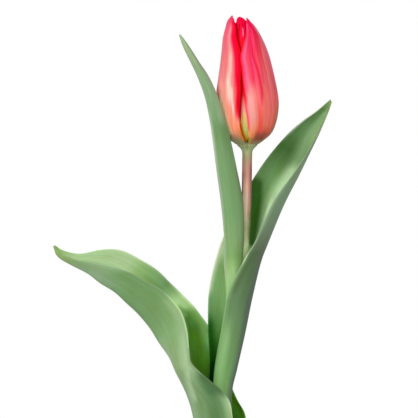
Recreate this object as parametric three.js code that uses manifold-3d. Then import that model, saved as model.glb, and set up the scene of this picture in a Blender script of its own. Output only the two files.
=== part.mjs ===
// A potted tulip: one closed bloom on its stem, with three leaves, in a plain clay pot of soil.
// Millimetres, +Z up. The origin is the centre of the pot's base, and the plant is seen from -Y.
import * as THREE from 'three';
import { mergeVertices } from 'three/addons/utils/BufferGeometryUtils.js';
import Module from 'manifold-3d';

const wasm = await Module();
wasm.setup();

// ---- driving dimensions ----
const GAP = 0.35; // clearance between pieces that touch

const POT_HEIGHT = 90;
const POT_BASE_RADIUS = 36;
const POT_BAND_RADIUS = 52.5;
const POT_BAND_HEIGHT = 18;
const POT_MOUTH_RADIUS = 45.5;
const POT_FLOOR_RADIUS = 31;
const POT_FLOOR = 6;
const DRAIN_HOLES = 3;
const DRAIN_RADIUS = 4;
const DRAIN_CIRCLE = 19;
const POT_SIDES = 40;

const SOIL_TOP = 80; // 10 below the rim
const SOIL_MOUND = 2.2; // how far the soil rises round the shoot
const SOIL_LUMP = 0.8;
const SOIL_SIDES = 32;

const BULB_BASE = 29;
const BULB_NOSE = 66.8;
const BULB_SIDES = 20;

const STEM_FOOT = BULB_NOSE - 8; // the stem stands in a socket in the bulb's nose
const STEM_FOOT_RADIUS = 3;
const STEM_TOP_RADIUS = 2.5;
const STEM_SIDES = 12;
const RECEPTACLE = 246; // height of the receptacle's edge, where the outer tepals start
const RECEPTACLE_RADIUS = 4.5;

const LEAF_RIB_THICKNESS = 1.3;
const LEAF_MARGIN_THICKNESS = 0.65;
const LEAF_HALF_COLUMNS = 6;

const TEPAL_THICKNESS = 0.8;
const TEPAL_COLUMNS = 10;
const TEPAL_ROWS = 18;

// ---- curves ----
const lerp = THREE.MathUtils.lerp;
const radians = THREE.MathUtils.degToRad;
const point = ([x, y, z]) => new THREE.Vector3(x, y, z);
const curveThrough = (points) => new THREE.CatmullRomCurve3(points.map(point), false, 'catmullrom', 0.5);

// Value at x on the smooth line through [x, value] pairs in rising x.
function valueAt(pairs, x) {
  const last = pairs.length - 1;
  if (x <= pairs[0][0]) return pairs[0][1];
  if (x >= pairs[last][0]) return pairs[last][1];
  const i = pairs.findIndex((pair, k) => k < last && x < pairs[k + 1][0]);
  const slope = (k) => {
    const [a, b] = [pairs[Math.max(k - 1, 0)], pairs[Math.min(k + 1, last)]];
    return (b[1] - a[1]) / (b[0] - a[0]);
  };
  const [[x0, y0], [x1, y1]] = [pairs[i], pairs[i + 1]];
  const [w, t] = [x1 - x0, (x - x0) / (x1 - x0)];
  const hermite = (2 * t - 3) * t * t;
  return y0 * (hermite + 1) - y1 * hermite + w * (slope(i) * t * (1 - t) ** 2 - slope(i + 1) * t * t * (1 - t));
}

// The plant's axis leans to +X: [height, x] of the stem's centre and, above it, of the bloom's.
const STEM_AXIS = [[80, 0], [95, 0.4], [119, 1.6], [143, 5], [169, 8.8], [194.5, 12.1], [214, 13.6], [241, 14.1]];
const BLOOM_AXIS = [[246, 14], [270, 13.9], [283, 13.6], [292.5, 12.9], [300.5, 11.6], [305, 10.9], [311, 10.3]];
const stemX = (z) => valueAt(STEM_AXIS, z);
const bloomX = (z) => valueAt(BLOOM_AXIS, z);

// ---- solids ----
// Turns an outline of [radius, height] about Z. It starts and ends on the axis.
function turned(outline, sides, axisX = () => 0) {
  const geometry = new THREE.LatheGeometry(outline.map(([r, z]) => new THREE.Vector2(r, z)), sides);
  geometry.rotateX(Math.PI / 2);
  geometry.deleteAttribute('normal');
  geometry.deleteAttribute('uv');
  const position = geometry.attributes.position;
  for (let i = 0; i < position.count; i++) position.setX(i, position.getX(i) + axisX(position.getZ(i)));
  return mergeVertices(geometry, 1e-4);
}

function asSolid(geometry) {
  const vertProperties = new Float32Array(geometry.attributes.position.array);
  const triVerts = new Uint32Array(geometry.index.array);
  return new wasm.Manifold(new wasm.Mesh({ numProp: 3, vertProperties, triVerts }));
}

function asGeometry(solid) {
  const { vertProperties, triVerts } = solid.getMesh();
  const geometry = new THREE.BufferGeometry();
  geometry.setAttribute('position', new THREE.BufferAttribute(vertProperties, 3));
  geometry.setIndex(new THREE.BufferAttribute(triVerts, 1));
  return geometry;
}

function cylinder(radius, bottom, top, sides, x = 0, y = 0) {
  const geometry = turned([[0, bottom], [radius, bottom], [radius, top], [0, top]], sides);
  return geometry.translate(x, y, 0);
}

// A thin closed blade round a grid of points: rows run from base to tip, and each row from the left
// margin to the right one as seen from outside. Both faces are split along the same diagonals.
function blade(rows, thicknessAt) {
  const [rowCount, columnCount] = [rows.length, rows[0].length];
  const positions = [];
  for (const side of [0.5, -0.5]) {
    rows.forEach((row, i) => row.forEach((p, j) => {
      const across = row[Math.min(j + 1, columnCount - 1)].clone().sub(row[Math.max(j - 1, 0)]);
      const along = rows[Math.min(i + 1, rowCount - 1)][j].clone().sub(rows[Math.max(i - 1, 0)][j]);
      const normal = across.cross(along).normalize();
      const v = i / (rowCount - 1);
      const u = (2 * j) / (columnCount - 1) - 1;
      positions.push(...p.clone().addScaledVector(normal, side * thicknessAt(u, v)).toArray());
    }));
  }
  const outer = (i, j) => i * columnCount + j;
  const inner = (i, j) => rowCount * columnCount + outer(i, j);
  const index = [];
  const quad = (a, b, c, d) => index.push(a, b, c, a, c, d);
  for (let i = 0; i < rowCount - 1; i++) {
    for (let j = 0; j < columnCount - 1; j++) {
      quad(outer(i, j), outer(i, j + 1), outer(i + 1, j + 1), outer(i + 1, j));
      index.push(inner(i, j), inner(i + 1, j + 1), inner(i, j + 1));
      index.push(inner(i, j), inner(i + 1, j), inner(i + 1, j + 1));
    }
    const end = columnCount - 1;
    quad(outer(i, 0), outer(i + 1, 0), inner(i + 1, 0), inner(i, 0));
    quad(outer(i + 1, end), outer(i, end), inner(i, end), inner(i + 1, end));
  }
  for (let j = 0; j < columnCount - 1; j++) {
    const end = rowCount - 1;
    quad(outer(0, j + 1), outer(0, j), inner(0, j), inner(0, j + 1));
    quad(outer(end, j), outer(end, j + 1), inner(end, j + 1), inner(end, j));
  }
  const geometry = new THREE.BufferGeometry();
  geometry.setAttribute('position', new THREE.Float32BufferAttribute(positions, 3));
  geometry.setIndex(index);
  return geometry;
}

// ---- pot, soil and bulb ----
const bandFoot = POT_HEIGHT - POT_BAND_HEIGHT;

function potGeometry() {
  const outline = [
    [0, 0], [POT_BASE_RADIUS - 1.2, 0], [POT_BASE_RADIUS, 1.2],
    [POT_BAND_RADIUS - 5.7, bandFoot - 0.6], [POT_BAND_RADIUS - 4.9, bandFoot], [POT_BAND_RADIUS - 2.6, bandFoot],
    [POT_BAND_RADIUS - 1.6, bandFoot + 1], [POT_BAND_RADIUS, POT_HEIGHT - 2.4],
    [POT_BAND_RADIUS - 0.7, POT_HEIGHT - 0.7], [POT_BAND_RADIUS - 2.4, POT_HEIGHT],
    [POT_MOUTH_RADIUS + 1.8, POT_HEIGHT], [POT_MOUTH_RADIUS + 0.5, POT_HEIGHT - 0.6],
    [POT_MOUTH_RADIUS, POT_HEIGHT - 2], [POT_FLOOR_RADIUS, POT_FLOOR + 2],
    [POT_FLOOR_RADIUS - 2, POT_FLOOR], [0, POT_FLOOR],
  ];
  let pot = asSolid(turned(outline, POT_SIDES));
  for (let k = 0; k < DRAIN_HOLES; k++) {
    const turn = (2 * Math.PI * (k + 0.5)) / DRAIN_HOLES;
    const [x, y] = [DRAIN_CIRCLE * Math.cos(turn), DRAIN_CIRCLE * Math.sin(turn)];
    pot = pot.subtract(asSolid(cylinder(DRAIN_RADIUS, -1, POT_FLOOR + 1, 16, x, y)));
  }
  return asGeometry(pot);
}

// The bulb's outside from its basal plate to its nose, as [radius, height], grown by a clearance.
const bulbOutline = (grow) => [
  [0, BULB_BASE - grow], [7 + grow, BULB_BASE - grow], [8.5 + grow, BULB_BASE + 1.5], [14 + grow, 34],
  [17.4 + grow, 40], [18 + grow, 45.5], [16 + grow, 52.5], [12.6 + grow, 58.4 + grow],
  [9.8 + grow, 62.4 + grow], [6.6 + grow, 65.4 + grow], [4.4 + grow, BULB_NOSE + grow],
];

function bulbGeometry() {
  const socket = STEM_FOOT_RADIUS + GAP;
  const foot = STEM_FOOT - GAP;
  return turned([...bulbOutline(0), [socket, BULB_NOSE], [socket, foot], [0, foot]], BULB_SIDES);
}

const SHEATH_RADIUS = 9.7; // the lowest leaf's sheath where it stands in the soil
const SHOOT_HOLE = SHEATH_RADIUS + LEAF_RIB_THICKNESS / 2 + GAP;

function soilGeometry() {
  const mouth = lerp(POT_FLOOR_RADIUS, POT_MOUTH_RADIUS,
    (SOIL_TOP - POT_FLOOR - 2) / (POT_HEIGHT - POT_FLOOR - 4)) - GAP;
  const floor = POT_FLOOR + GAP;
  const ridge = [0.92, 0.75, 0.55, 0.38, 0.2].map((share) => [mouth * share, SOIL_TOP + SOIL_MOUND * (1 - share)]);
  const outline = [
    [0, floor], [POT_FLOOR_RADIUS - 2 - GAP, floor], [POT_FLOOR_RADIUS - GAP, floor + 2],
    [mouth, SOIL_TOP - 0.8], ...ridge, [0, SOIL_TOP + SOIL_MOUND],
  ];
  const mass = turned(outline, SOIL_SIDES);
  const position = mass.attributes.position;
  for (let i = 0; i < position.count; i++) {
    const [x, y, z] = [position.getX(i), position.getY(i), position.getZ(i)];
    const lump = Math.sin(0.31 * x + 1.2) * Math.cos(0.27 * y) + 0.6 * Math.sin(0.55 * y - 0.4 * x);
    const inside = THREE.MathUtils.smoothstep(mouth - Math.hypot(x, y), 0, 4);
    if (z > SOIL_TOP - 0.5) position.setZ(i, z + SOIL_LUMP * lump * inside);
  }
  const bulbPlace = asSolid(turned([...bulbOutline(GAP), [0, BULB_NOSE + GAP]], BULB_SIDES));
  const hole = asSolid(cylinder(SHOOT_HOLE, 58, SOIL_TOP + 10, 32));
  return asGeometry(asSolid(mass).subtract(bulbPlace).subtract(hole));
}

// ---- stem with its receptacle ----
function stemGeometry() {
  const outline = [[0, STEM_FOOT], [STEM_FOOT_RADIUS - 0.4, STEM_FOOT]];
  const shaftRows = 24;
  const shaftTop = RECEPTACLE - 5;
  for (let k = 0; k <= shaftRows; k++) {
    const share = k / shaftRows;
    const z = lerp(STEM_FOOT + 0.6, shaftTop, share);
    outline.push([lerp(STEM_FOOT_RADIUS, STEM_TOP_RADIUS, Math.sqrt(share)), z]);
  }
  outline.push([2.65, RECEPTACLE - 3], [3.1, RECEPTACLE - 1.8], [3.8, RECEPTACLE - 0.8]);
  outline.push([RECEPTACLE_RADIUS, RECEPTACLE], [RECEPTACLE_RADIUS - 0.2, RECEPTACLE + 0.5]);
  outline.push([3, RECEPTACLE + 1.7], [1.5, RECEPTACLE + 2.2], [0, RECEPTACLE + 2.3]);
  return turned(outline, STEM_SIDES, stemX);
}

// ---- leaves ----
// A leaf is a list of sections from base to tip. Each holds its keel, its left and right margins as
// seen from the keel's side with the tip up, and how far each half bows out, as a share of its width.
const LEAF_LOWER = [
  { keel: [-9.7, 0, 63.6], left: [9.6, 1.5, 63.6], right: [9.05, -3.5, 63.6], bows: [0.462, 0.416] },
  { keel: [-9.7, 0, 72], left: [9.6, 1.5, 72], right: [9.05, -3.5, 72], bows: [0.462, 0.416] },
  { keel: [-9.7, 0, 82], left: [9.6, 1.5, 82], right: [9.05, -3.5, 82], bows: [0.462, 0.416] },
  { keel: [-10.9, 0, 96], left: [11.2, 1.8, 96], right: [8.6, -6.8, 96], bows: [0.465, 0.357] },
  { keel: [-12.3, 0, 110], left: [13.1, 2, 110], right: [7.2, -11, 110], bows: [0.47, 0.29] },
  { keel: [-15.3, 0, 120.5], left: [8.5, 7, 120.5], right: [3.6, -12.5, 121.5], bows: [0.42, 0.25] },
  { keel: [-20.2, -0.5, 132], left: [1.5, 12, 139], right: [-12.6, -14, 135.9], bows: [0.3, 0.22] },
  { keel: [-24.3, -1, 141], left: [-3.2, 12.5, 152.5], right: [-14.8, -15, 143.5], bows: [0.25, 0.2] },
  { keel: [-29.7, -1, 148.4], left: [-10.2, 11.5, 161.7], right: [-15.4, -16, 154.5], bows: [0.2, 0.18] },
  { keel: [-34.2, -1, 155.4], left: [-16.2, 11, 168.8], right: [-18.5, -16, 164.1], bows: [0.18, 0.16] },
  { keel: [-40.2, -1, 162.6], left: [-23.9, 10.5, 177.3], right: [-27, -14.5, 172.9], bows: [0.16, 0.15] },
  { keel: [-45.8, -1, 167.9], left: [-30, 10, 183.8], right: [-35.5, -13, 177.6], bows: [0.15, 0.14] },
  { keel: [-51.6, -1, 173.3], left: [-38.5, 9, 188.8], right: [-43.8, -11.5, 182.5], bows: [0.14, 0.13] },
  { keel: [-58.9, -1, 177.9], left: [-49, 7, 193.6], right: [-53.3, -9.5, 186], bows: [0.13, 0.12] },
  { keel: [-65.4, -1, 182.8], left: [-58.5, 4.5, 194.2], right: [-62.3, -6.5, 187.6], bows: [0.12, 0.12] },
  { keel: [-73.4, -1, 186.8], left: [-69.5, 1.5, 192.3], right: [-71.5, -3.5, 189.2], bows: [0.1, 0.1] },
  { keel: [-80, -1, 190.8], left: [-77.7, 0.2, 193.8], right: [-79, -1.8, 192.2], bows: [0.1, 0.1] },
  { keel: [-82.9, -1, 195.9], left: [-82, -0.5, 196.4], right: [-82.4, -1.5, 196.2], bows: [0.1, 0.1] },
];
const LEAF_RIGHT = [
  { keel: [5.6, 0, 67.2], left: [-4.3, -3.6, 67.2], right: [-4.85, 2.8, 67.2], bows: [0.35, 0.384] },
  { keel: [5.7, 0, 90], left: [-4.2, -3.8, 90], right: [-4.9, 3, 90], bows: [0.35, 0.38] },
  { keel: [6, 0, 108], left: [-3.9, -4.4, 108], right: [-5.1, 3.4, 108], bows: [0.34, 0.37] },
  { keel: [6.1, 0, 123.5], left: [-3, -5.4, 125], right: [-5.1, 4.2, 126], bows: [0.33, 0.36] },
  { keel: [8.5, 0, 134.5], left: [-1.8, -6.4, 137], right: [-4.9, 5, 138.5], bows: [0.31, 0.34] },
  { keel: [12.4, 0, 152], left: [1.2, -8, 153.5], right: [-5.7, 7, 155.5], bows: [0.28, 0.32] },
  { keel: [15.8, 0, 169], left: [4.4, -9.5, 172.4], right: [-4.8, 9, 175], bows: [0.25, 0.3] },
  { keel: [19.8, 0, 187], left: [12.6, -11.5, 190.4], right: [-0.2, 11, 193.5], bows: [0.22, 0.28] },
  { keel: [22.9, 0.5, 196.5], left: [18.1, -12, 199], right: [4.4, 11.5, 204.6], bows: [0.2, 0.26] },
  { keel: [30.5, 1.5, 215.5], left: [27, -11.5, 217.8], right: [13.8, 10, 224.2], bows: [0.18, 0.22] },
  { keel: [37.7, 3, 231.5], left: [37.7, -9, 232.9], right: [22.8, 8, 238.5], bows: [0.17, 0.2] },
  { keel: [44.2, 4.5, 246.2], left: [46.1, -5.5, 246.4], right: [33.45, 5.5, 251.1], bows: [0.15, 0.18] },
  { keel: [48.7, 4, 254.8], left: [50.4, -3, 254.2], right: [41.3, 4, 258.2], bows: [0.13, 0.15] },
  { keel: [52.6, 3, 261.6], left: [53.7, -0.5, 261.2], right: [48.8, 3, 263.6], bows: [0.1, 0.1] },
  { keel: [56.1, 2.2, 268.1], left: [56.7, 1.4, 268.9], right: [55.8, 2.4, 269.4], bows: [0.1, 0.1] },
];
const LEAF_LEFT = [
  { keel: [4.2, -3.6, 150], left: [1.8, 2, 150], right: [9.8, -2, 150], bows: [0.26, 0.3] },
  { keel: [6.2, -3.8, 164], left: [3.8, 1.6, 164], right: [11.9, -2.2, 164], bows: [0.24, 0.28] },
  { keel: [6.7, -4.9, 175], left: [3.8, 0, 175], right: [12.6, -4, 175], bows: [0.2, 0.2] },
  { keel: [6, -6.2, 186], left: [2.8, -1, 186], right: [11.6, -5, 186], bows: [0.15, 0.12] },
  { keel: [5.7, -7, 200], left: [2.7, -2, 200], right: [12.5, -5.6, 200], bows: [0.13, 0.1] },
  { keel: [4.4, -8.4, 218], left: [1, -3.5, 218], right: [12, -6.4, 218], bows: [0.12, 0.1] },
  { keel: [2, -11, 234.5], left: [-1.1, -6, 234], right: [8.8, -8.8, 235], bows: [0.12, 0.1] },
  { keel: [-0.2, -13.8, 250.5], left: [-3.2, -9, 250], right: [5.2, -11.8, 251], bows: [0.12, 0.1] },
  { keel: [-2.3, -15.4, 261.5], left: [-4.8, -11, 261], right: [1.8, -13.6, 262], bows: [0.12, 0.1] },
  { keel: [-4.5, -14.9, 271], left: [-7.1, -11, 271], right: [-0.9, -13, 271], bows: [0.12, 0.1] },
  { keel: [-7.9, -13.8, 280.5], left: [-10.7, -10.5, 280.5], right: [-5, -12, 280], bows: [0.11, 0.1] },
  { keel: [-11.9, -12.2, 287.8], left: [-14, -9.6, 287.5], right: [-9.6, -11, 287], bows: [0.1, 0.1] },
  { keel: [-16, -10.8, 295], left: [-17.4, -9, 294.5], right: [-14.3, -10, 294.4], bows: [0.1, 0.1] },
  { keel: [-19.4, -9.9, 301.5], left: [-20, -9.3, 301.2], right: [-19.1, -9.7, 301.3], bows: [0.1, 0.1] },
];

// One half of a section: points from the keel to the margin on an arc that bows out by a share of
// the half's width.
function halfSection(keel, margin, outward, bow) {
  const chord = margin.clone().sub(keel);
  const width = chord.length();
  const along = chord.normalize();
  const away = outward.clone().addScaledVector(along, -outward.dot(along)).normalize();
  const halfTurn = 2 * Math.atan(2 * bow);
  const radius = width / 2 / Math.sin(halfTurn);
  return Array.from({ length: LEAF_HALF_COLUMNS + 1 }, (_, k) => {
    const turn = halfTurn * ((2 * k) / LEAF_HALF_COLUMNS - 1);
    return keel.clone()
      .addScaledVector(along, width / 2 + radius * Math.sin(turn))
      .addScaledVector(away, radius * (Math.cos(turn) - Math.cos(halfTurn)));
  });
}

function leafGeometry(sections, { rows, waves, waveHeight }) {
  const keelLine = curveThrough(sections.map((section) => section.keel));
  const leftLine = curveThrough(sections.map((section) => section.left));
  const rightLine = curveThrough(sections.map((section) => section.right));
  const bowLine = curveThrough(sections.map((section) => [...section.bows, 0]));
  const grid = [];
  for (let i = 0; i <= rows; i++) {
    const v = i / rows;
    const [keel, left, right] = [keelLine, leftLine, rightLine].map((line) => line.getPoint(v));
    const tipward = keelLine.getTangent(v);
    const bows = bowLine.getPoint(v);
    const leftOut = tipward.clone().cross(left.clone().sub(keel));
    const rightOut = right.clone().sub(keel).cross(tipward);
    const leftHalf = halfSection(keel, left, leftOut, bows.x);
    const rightHalf = halfSection(keel, right, rightOut, bows.y);
    grid.push([...leftHalf.reverse(), ...rightHalf.slice(1)]);
    const swell = waveHeight * Math.sin(waves * 2 * Math.PI * v) * Math.sin(Math.PI * v) ** 2;
    const lift = leftOut.normalize().add(rightOut.normalize()).normalize();
    grid[i][0].addScaledVector(lift, swell);
    grid[i][1].addScaledVector(lift, swell * 0.5);
    grid[i].at(-1).addScaledVector(lift, -swell);
    grid[i].at(-2).addScaledVector(lift, -swell * 0.5);
  }
  return blade(grid, (u) => lerp(LEAF_RIB_THICKNESS, LEAF_MARGIN_THICKNESS, Math.abs(u) ** 0.8));
}

// ---- tepals ----
// The middle of an outer tepal and of an inner one from base to tip, as [radius, height].
const OUTER_PROFILE = [
  [5.1, 246.9], [8.4, 249.3], [11.4, 251.9], [13.4, 255.3], [14.9, 260.5], [15.6, 267], [15, 273.5],
  [14, 279], [12.7, 286], [11.4, 292.5], [9.6, 299.5], [7.5, 305], [6.3, 308.3], [4.7, 311.2],
];
const INNER_PROFILE = [
  [3.8, 248.3], [5.6, 249.6], [8, 252.4], [10, 256], [11.7, 261], [12.5, 267], [11.8, 273.5],
  [10.7, 279], [9.4, 286], [8, 292.5], [6.2, 299.5], [4.1, 305], [3.4, 308.3], [2, 310.6],
];
// Where each tepal's left and right margins lie at those heights, in degrees round the bloom's axis
// from -Y towards +X.
const TEPALS = [
  { name: 'tepal_outer_left', profile: OUTER_PROFILE, height: 1, relief: ridgeAndFlank,
    left: [-92, -94, -95, -96, -95, -89, -85, -90, -96, -97, -94, -85, -80, -60],
    right: [-10, -11, -14, -14.6, -12.8, -11.7, -11, -12.3, -10.5, -12, -19.3, -21, -30, -44] },
  { name: 'tepal_outer_right', profile: OUTER_PROFILE, height: 0.972, relief: lipAndValley,
    left: [6, 5, 2.8, 2, 0, -3.6, -5.8, -8.3, -10.3, -12.2, 0.5, 17, 23.8, 34.5],
    right: [105, 107, 108, 110, 110, 110, 110, 110, 110, 108, 104, 92, 58, 40] },
  { name: 'tepal_outer_back', profile: OUTER_PROFILE, height: 0.944, relief: () => 0,
    left: [131, 129, 128, 128, 128, 127, 127, 127, 128, 130, 134, 146, 158, 172],
    right: [229, 231, 232, 232, 232, 233, 234, 233, 232, 230, 226, 214, 202, 188] },
  { name: 'tepal_inner_front', profile: INNER_PROFILE, height: 1, relief: () => 0,
    left: [-45, -48, -50, -50, -50, -50, -50, -50, -50, -50, -50, -50, -34, -30],
    right: [35, 38, 40, 42, 42, 42, 42, 42, 42, 42, 56, 72, 64, 30] },
  { name: 'tepal_inner_back_left', profile: INNER_PROFILE, height: 0.923, relief: () => 0,
    left: [-167, -170, -172, -172, -172, -172, -172, -172, -172, -170, -166, -156, -146, -134],
    right: [-79, -76, -74, -73, -73, -73, -73, -73, -73, -74, -78, -88, -100, -112] },
  { name: 'tepal_inner_back_right', profile: INNER_PROFILE, height: 0.915, relief: () => 0,
    left: [74, 72, 71, 70, 70, 70, 70, 70, 70, 71, 75, 86, 94, 106],
    right: [162, 165, 167, 168, 168, 168, 168, 168, 168, 166, 162, 152, 142, 130] },
];

// Where the left outer tepal's ridge ends and its flank begins: [height, angle].
const CREST = [[252, -15], [258, -16], [264, -20], [270, -26], [279, -31.5], [290, -35], [304, -40]];
const FLANK_DEPTH = 1.7;
const FLANK_WIDTH = 14; // degrees

// The left outer tepal stands out in a ridge and falls back to its right margin.
function ridgeAndFlank(angle, z) {
  const crest = valueAt(CREST, z);
  const reach = THREE.MathUtils.smoothstep(z, 251, 260) * (1 - 0.6 * THREE.MathUtils.smoothstep(z, 293, 308));
  const flank = THREE.MathUtils.smoothstep(angle, crest, crest + FLANK_WIDTH);
  const ridge = Math.exp(-(((angle - crest + 3) / 9) ** 2));
  return reach * (0.35 * ridge - FLANK_DEPTH * flank);
}

// The right outer tepal has a raised left lip and a shallow valley beside it in its upper half.
function lipAndValley(angle, z) {
  const upper = THREE.MathUtils.smoothstep(z, 268, 282) * (1 - THREE.MathUtils.smoothstep(z, 300, 309));
  const valley = Math.exp(-(((angle - 24) / 9) ** 2));
  const lip = 1 - THREE.MathUtils.smoothstep(angle, -4, 8);
  return 0.35 * lip - 0.6 * upper * valley;
}

function tepalGeometry({ profile, height, relief, left, right }) {
  const profileLine = curveThrough(profile.map(([r, z]) => [r, 0, z]));
  const marginLine = curveThrough(left.map((angle, k) => [angle, right[k], 0]));
  const grid = [];
  for (let i = 0; i <= TEPAL_ROWS; i++) {
    const v = (i / TEPAL_ROWS) * height;
    const { x: radius, z } = profileLine.getPoint(v);
    const margins = marginLine.getPoint(i / TEPAL_ROWS);
    grid.push(Array.from({ length: TEPAL_COLUMNS + 1 }, (_, j) => {
      const angle = lerp(margins.x, margins.y, j / TEPAL_COLUMNS);
      const reach = radius + relief(angle, z);
      const turn = radians(angle);
      return new THREE.Vector3(bloomX(z) + reach * Math.sin(turn), -reach * Math.cos(turn), z);
    }));
  }
  return blade(grid, () => TEPAL_THICKNESS);
}

// ---- pistil and stamens ----
const PISTIL_FOOT = RECEPTACLE + 2.3 + GAP;
const PISTIL_LENGTH = 22;
const STAMEN_CIRCLE = 2.75;
const STAMEN_FOOT = RECEPTACLE + 1.95 + GAP;
const STAMEN_LENGTH = 21;
const STAMEN_LEAN = radians(7);

function pistilGeometry() {
  const top = PISTIL_FOOT + PISTIL_LENGTH;
  const ovary = [[0, PISTIL_FOOT], [1.4, PISTIL_FOOT], [1.9, PISTIL_FOOT + 4], [1.9, top - 6], [1.5, top - 3]];
  const stigma = [[2.4, top - 2.2], [2.9, top - 1], [2.2, top - 0.2], [0, top]];
  const geometry = turned([...ovary, ...stigma], 18, bloomX);
  const position = geometry.attributes.position;
  for (let i = 0; i < position.count; i++) {
    const z = position.getZ(i);
    const [x, y] = [position.getX(i) - bloomX(z), position.getY(i)];
    const lobe = z > top - 2.6 ? 1 + 0.28 * Math.cos(3 * Math.atan2(y, x)) : 1;
    position.setXY(i, bloomX(z) + x * lobe, y * lobe);
  }
  return geometry;
}

function stamenGeometry() {
  const antherFoot = STAMEN_LENGTH * 0.5;
  return turned([
    [0, 0], [0.5, 0], [0.6, antherFoot * 0.5], [0.35, antherFoot], [1, antherFoot + 0.8],
    [1.15, antherFoot + 3], [0.95, STAMEN_LENGTH - 1.2], [0.4, STAMEN_LENGTH - 0.1], [0, STAMEN_LENGTH],
  ], 8);
}

// ---- the object ----
const material = (color, roughness) => new THREE.MeshStandardMaterial({ color, roughness, metalness: 0 });
const CLAY = material(0xb5653f, 0.85);
const SOIL = material(0x3b2b20, 0.95);
const BULB = material(0x8a5a34, 0.6);
const STEM = material(0xb9b084, 0.5);
const LEAF = material(0x76a061, 0.55);
const TEPAL = material(0xe8455f, 0.45);
const PISTIL = material(0xb9c27a, 0.5);
const STAMEN = material(0x3a2a33, 0.6);

const tulip = new THREE.Group();

function add(name, geometry, look) {
  const mesh = new THREE.Mesh(geometry, look.clone());
  mesh.name = name;
  tulip.add(mesh);
  return mesh;
}

add('pot', potGeometry(), CLAY);
add('soil', soilGeometry(), SOIL);
add('bulb', bulbGeometry(), BULB);
add('stem', stemGeometry(), STEM);
add('leaf_lower', leafGeometry(LEAF_LOWER, { rows: 30, waves: 3.5, waveHeight: 0.7 }), LEAF);
add('leaf_right', leafGeometry(LEAF_RIGHT, { rows: 28, waves: 2.5, waveHeight: 0.4 }), LEAF);
add('leaf_left', leafGeometry(LEAF_LEFT, { rows: 24, waves: 2, waveHeight: 0.2 }), LEAF);
for (const tepal of TEPALS) add(tepal.name, tepalGeometry(tepal), TEPAL);
add('pistil', pistilGeometry(), PISTIL);
for (let k = 0; k < 6; k++) {
  const turn = radians(60 * k + 30);
  const stamen = add(`stamen_${k + 1}`, stamenGeometry(), STAMEN);
  const [x, y] = [STAMEN_CIRCLE * Math.cos(turn), STAMEN_CIRCLE * Math.sin(turn)];
  stamen.position.set(bloomX(STAMEN_FOOT) + x, y, STAMEN_FOOT);
  stamen.setRotationFromAxisAngle(new THREE.Vector3(-Math.sin(turn), Math.cos(turn), 0), STAMEN_LEAN);
}

export default tulip;
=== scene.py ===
import math
from functools import partialmethod

import bmesh
import bpy
import numpy as np
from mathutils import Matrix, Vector


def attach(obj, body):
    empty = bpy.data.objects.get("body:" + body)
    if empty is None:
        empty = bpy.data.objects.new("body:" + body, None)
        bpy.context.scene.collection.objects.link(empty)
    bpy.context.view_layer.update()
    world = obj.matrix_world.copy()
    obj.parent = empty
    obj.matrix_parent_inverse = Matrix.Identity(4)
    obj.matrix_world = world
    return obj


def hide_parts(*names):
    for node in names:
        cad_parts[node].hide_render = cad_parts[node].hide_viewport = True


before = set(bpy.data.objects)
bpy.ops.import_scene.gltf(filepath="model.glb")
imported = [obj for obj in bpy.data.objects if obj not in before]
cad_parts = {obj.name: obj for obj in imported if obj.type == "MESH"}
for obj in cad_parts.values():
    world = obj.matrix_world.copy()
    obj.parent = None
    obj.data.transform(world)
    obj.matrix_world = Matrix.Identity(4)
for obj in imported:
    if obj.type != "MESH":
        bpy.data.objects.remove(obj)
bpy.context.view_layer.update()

MM = 0.001


def new_object(name, data):
    made = bpy.data.objects.new(name, data)
    bpy.context.collection.objects.link(made)
    return made


# ---------------------------------------------------------------- camera, lights and floor
PHOTO_PIXEL = 0.5  # mm of the object that one pixel of the photograph shows
PHOTO_SIDE = 418
VIEW_WIDTH = PHOTO_SIDE * PHOTO_PIXEL * MM
VIEW_CENTRE = (-0.005, 0.2145)  # x and z at the middle of the frame
CAMERA_DISTANCE = 2.5
SENSOR = 36
CLIP_END = 20
WHITE = (1, 1, 1, 1)
ROOM_LIGHT = 0.5
LIGHTS_AIM = (0, 0, 0.22)
# Name, place, size and watts.
LIGHTS = [("key", (-1.3, -1.5, 1.7), 0.9, 38), ("front_fill", (0.3, -2.2, 0.5), 1.2, 9)]
FLOOR_RADIUS = 2.5
FLOOR_SIDES = 96
FLOOR_COLOUR = (0.86, 0.86, 0.86, 1)


def make_camera():
    data = bpy.data.cameras.new("camera")
    data.sensor_width = SENSOR
    data.lens = SENSOR * CAMERA_DISTANCE / VIEW_WIDTH
    data.clip_end = CLIP_END
    camera = new_object("camera", data)
    camera.location = (VIEW_CENTRE[0], -CAMERA_DISTANCE, VIEW_CENTRE[1])
    camera.rotation_euler = (math.radians(90), 0, 0)
    bpy.context.scene.camera = camera


def make_lights():
    for name, place, size, power in LIGHTS:
        data = bpy.data.lights.new(name, "AREA")
        data.shape = "DISK"
        data.size = size
        data.energy = power
        light = new_object(name, data)
        light.location = place
        light.rotation_euler = (Vector(LIGHTS_AIM) - Vector(place)).to_track_quat("-Z", "Y").to_euler()


def make_room():
    """A bright room all round that lights the object, and a white background behind it."""
    scene = bpy.context.scene
    scene.view_settings.view_transform = "Standard"
    scene.world = bpy.data.worlds.new("studio")
    scene.world.use_nodes = True
    nodes = Nodes(scene.world.node_tree)
    room = nodes.tree.nodes["Background"]
    nodes.put(room.inputs["Color"], WHITE)
    nodes.put(room.inputs["Strength"], ROOM_LIGHT)
    backdrop = nodes.node("ShaderNodeBackground", {"Color": WHITE, "Strength": 1})
    seen = nodes.node("ShaderNodeLightPath").outputs["Is Camera Ray"]
    both = nodes.node("ShaderNodeMixShader", enumerate((seen, room.outputs[0], backdrop.outputs[0])))
    nodes.put(nodes.tree.nodes["World Output"].inputs["Surface"], both.outputs[0])


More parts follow.
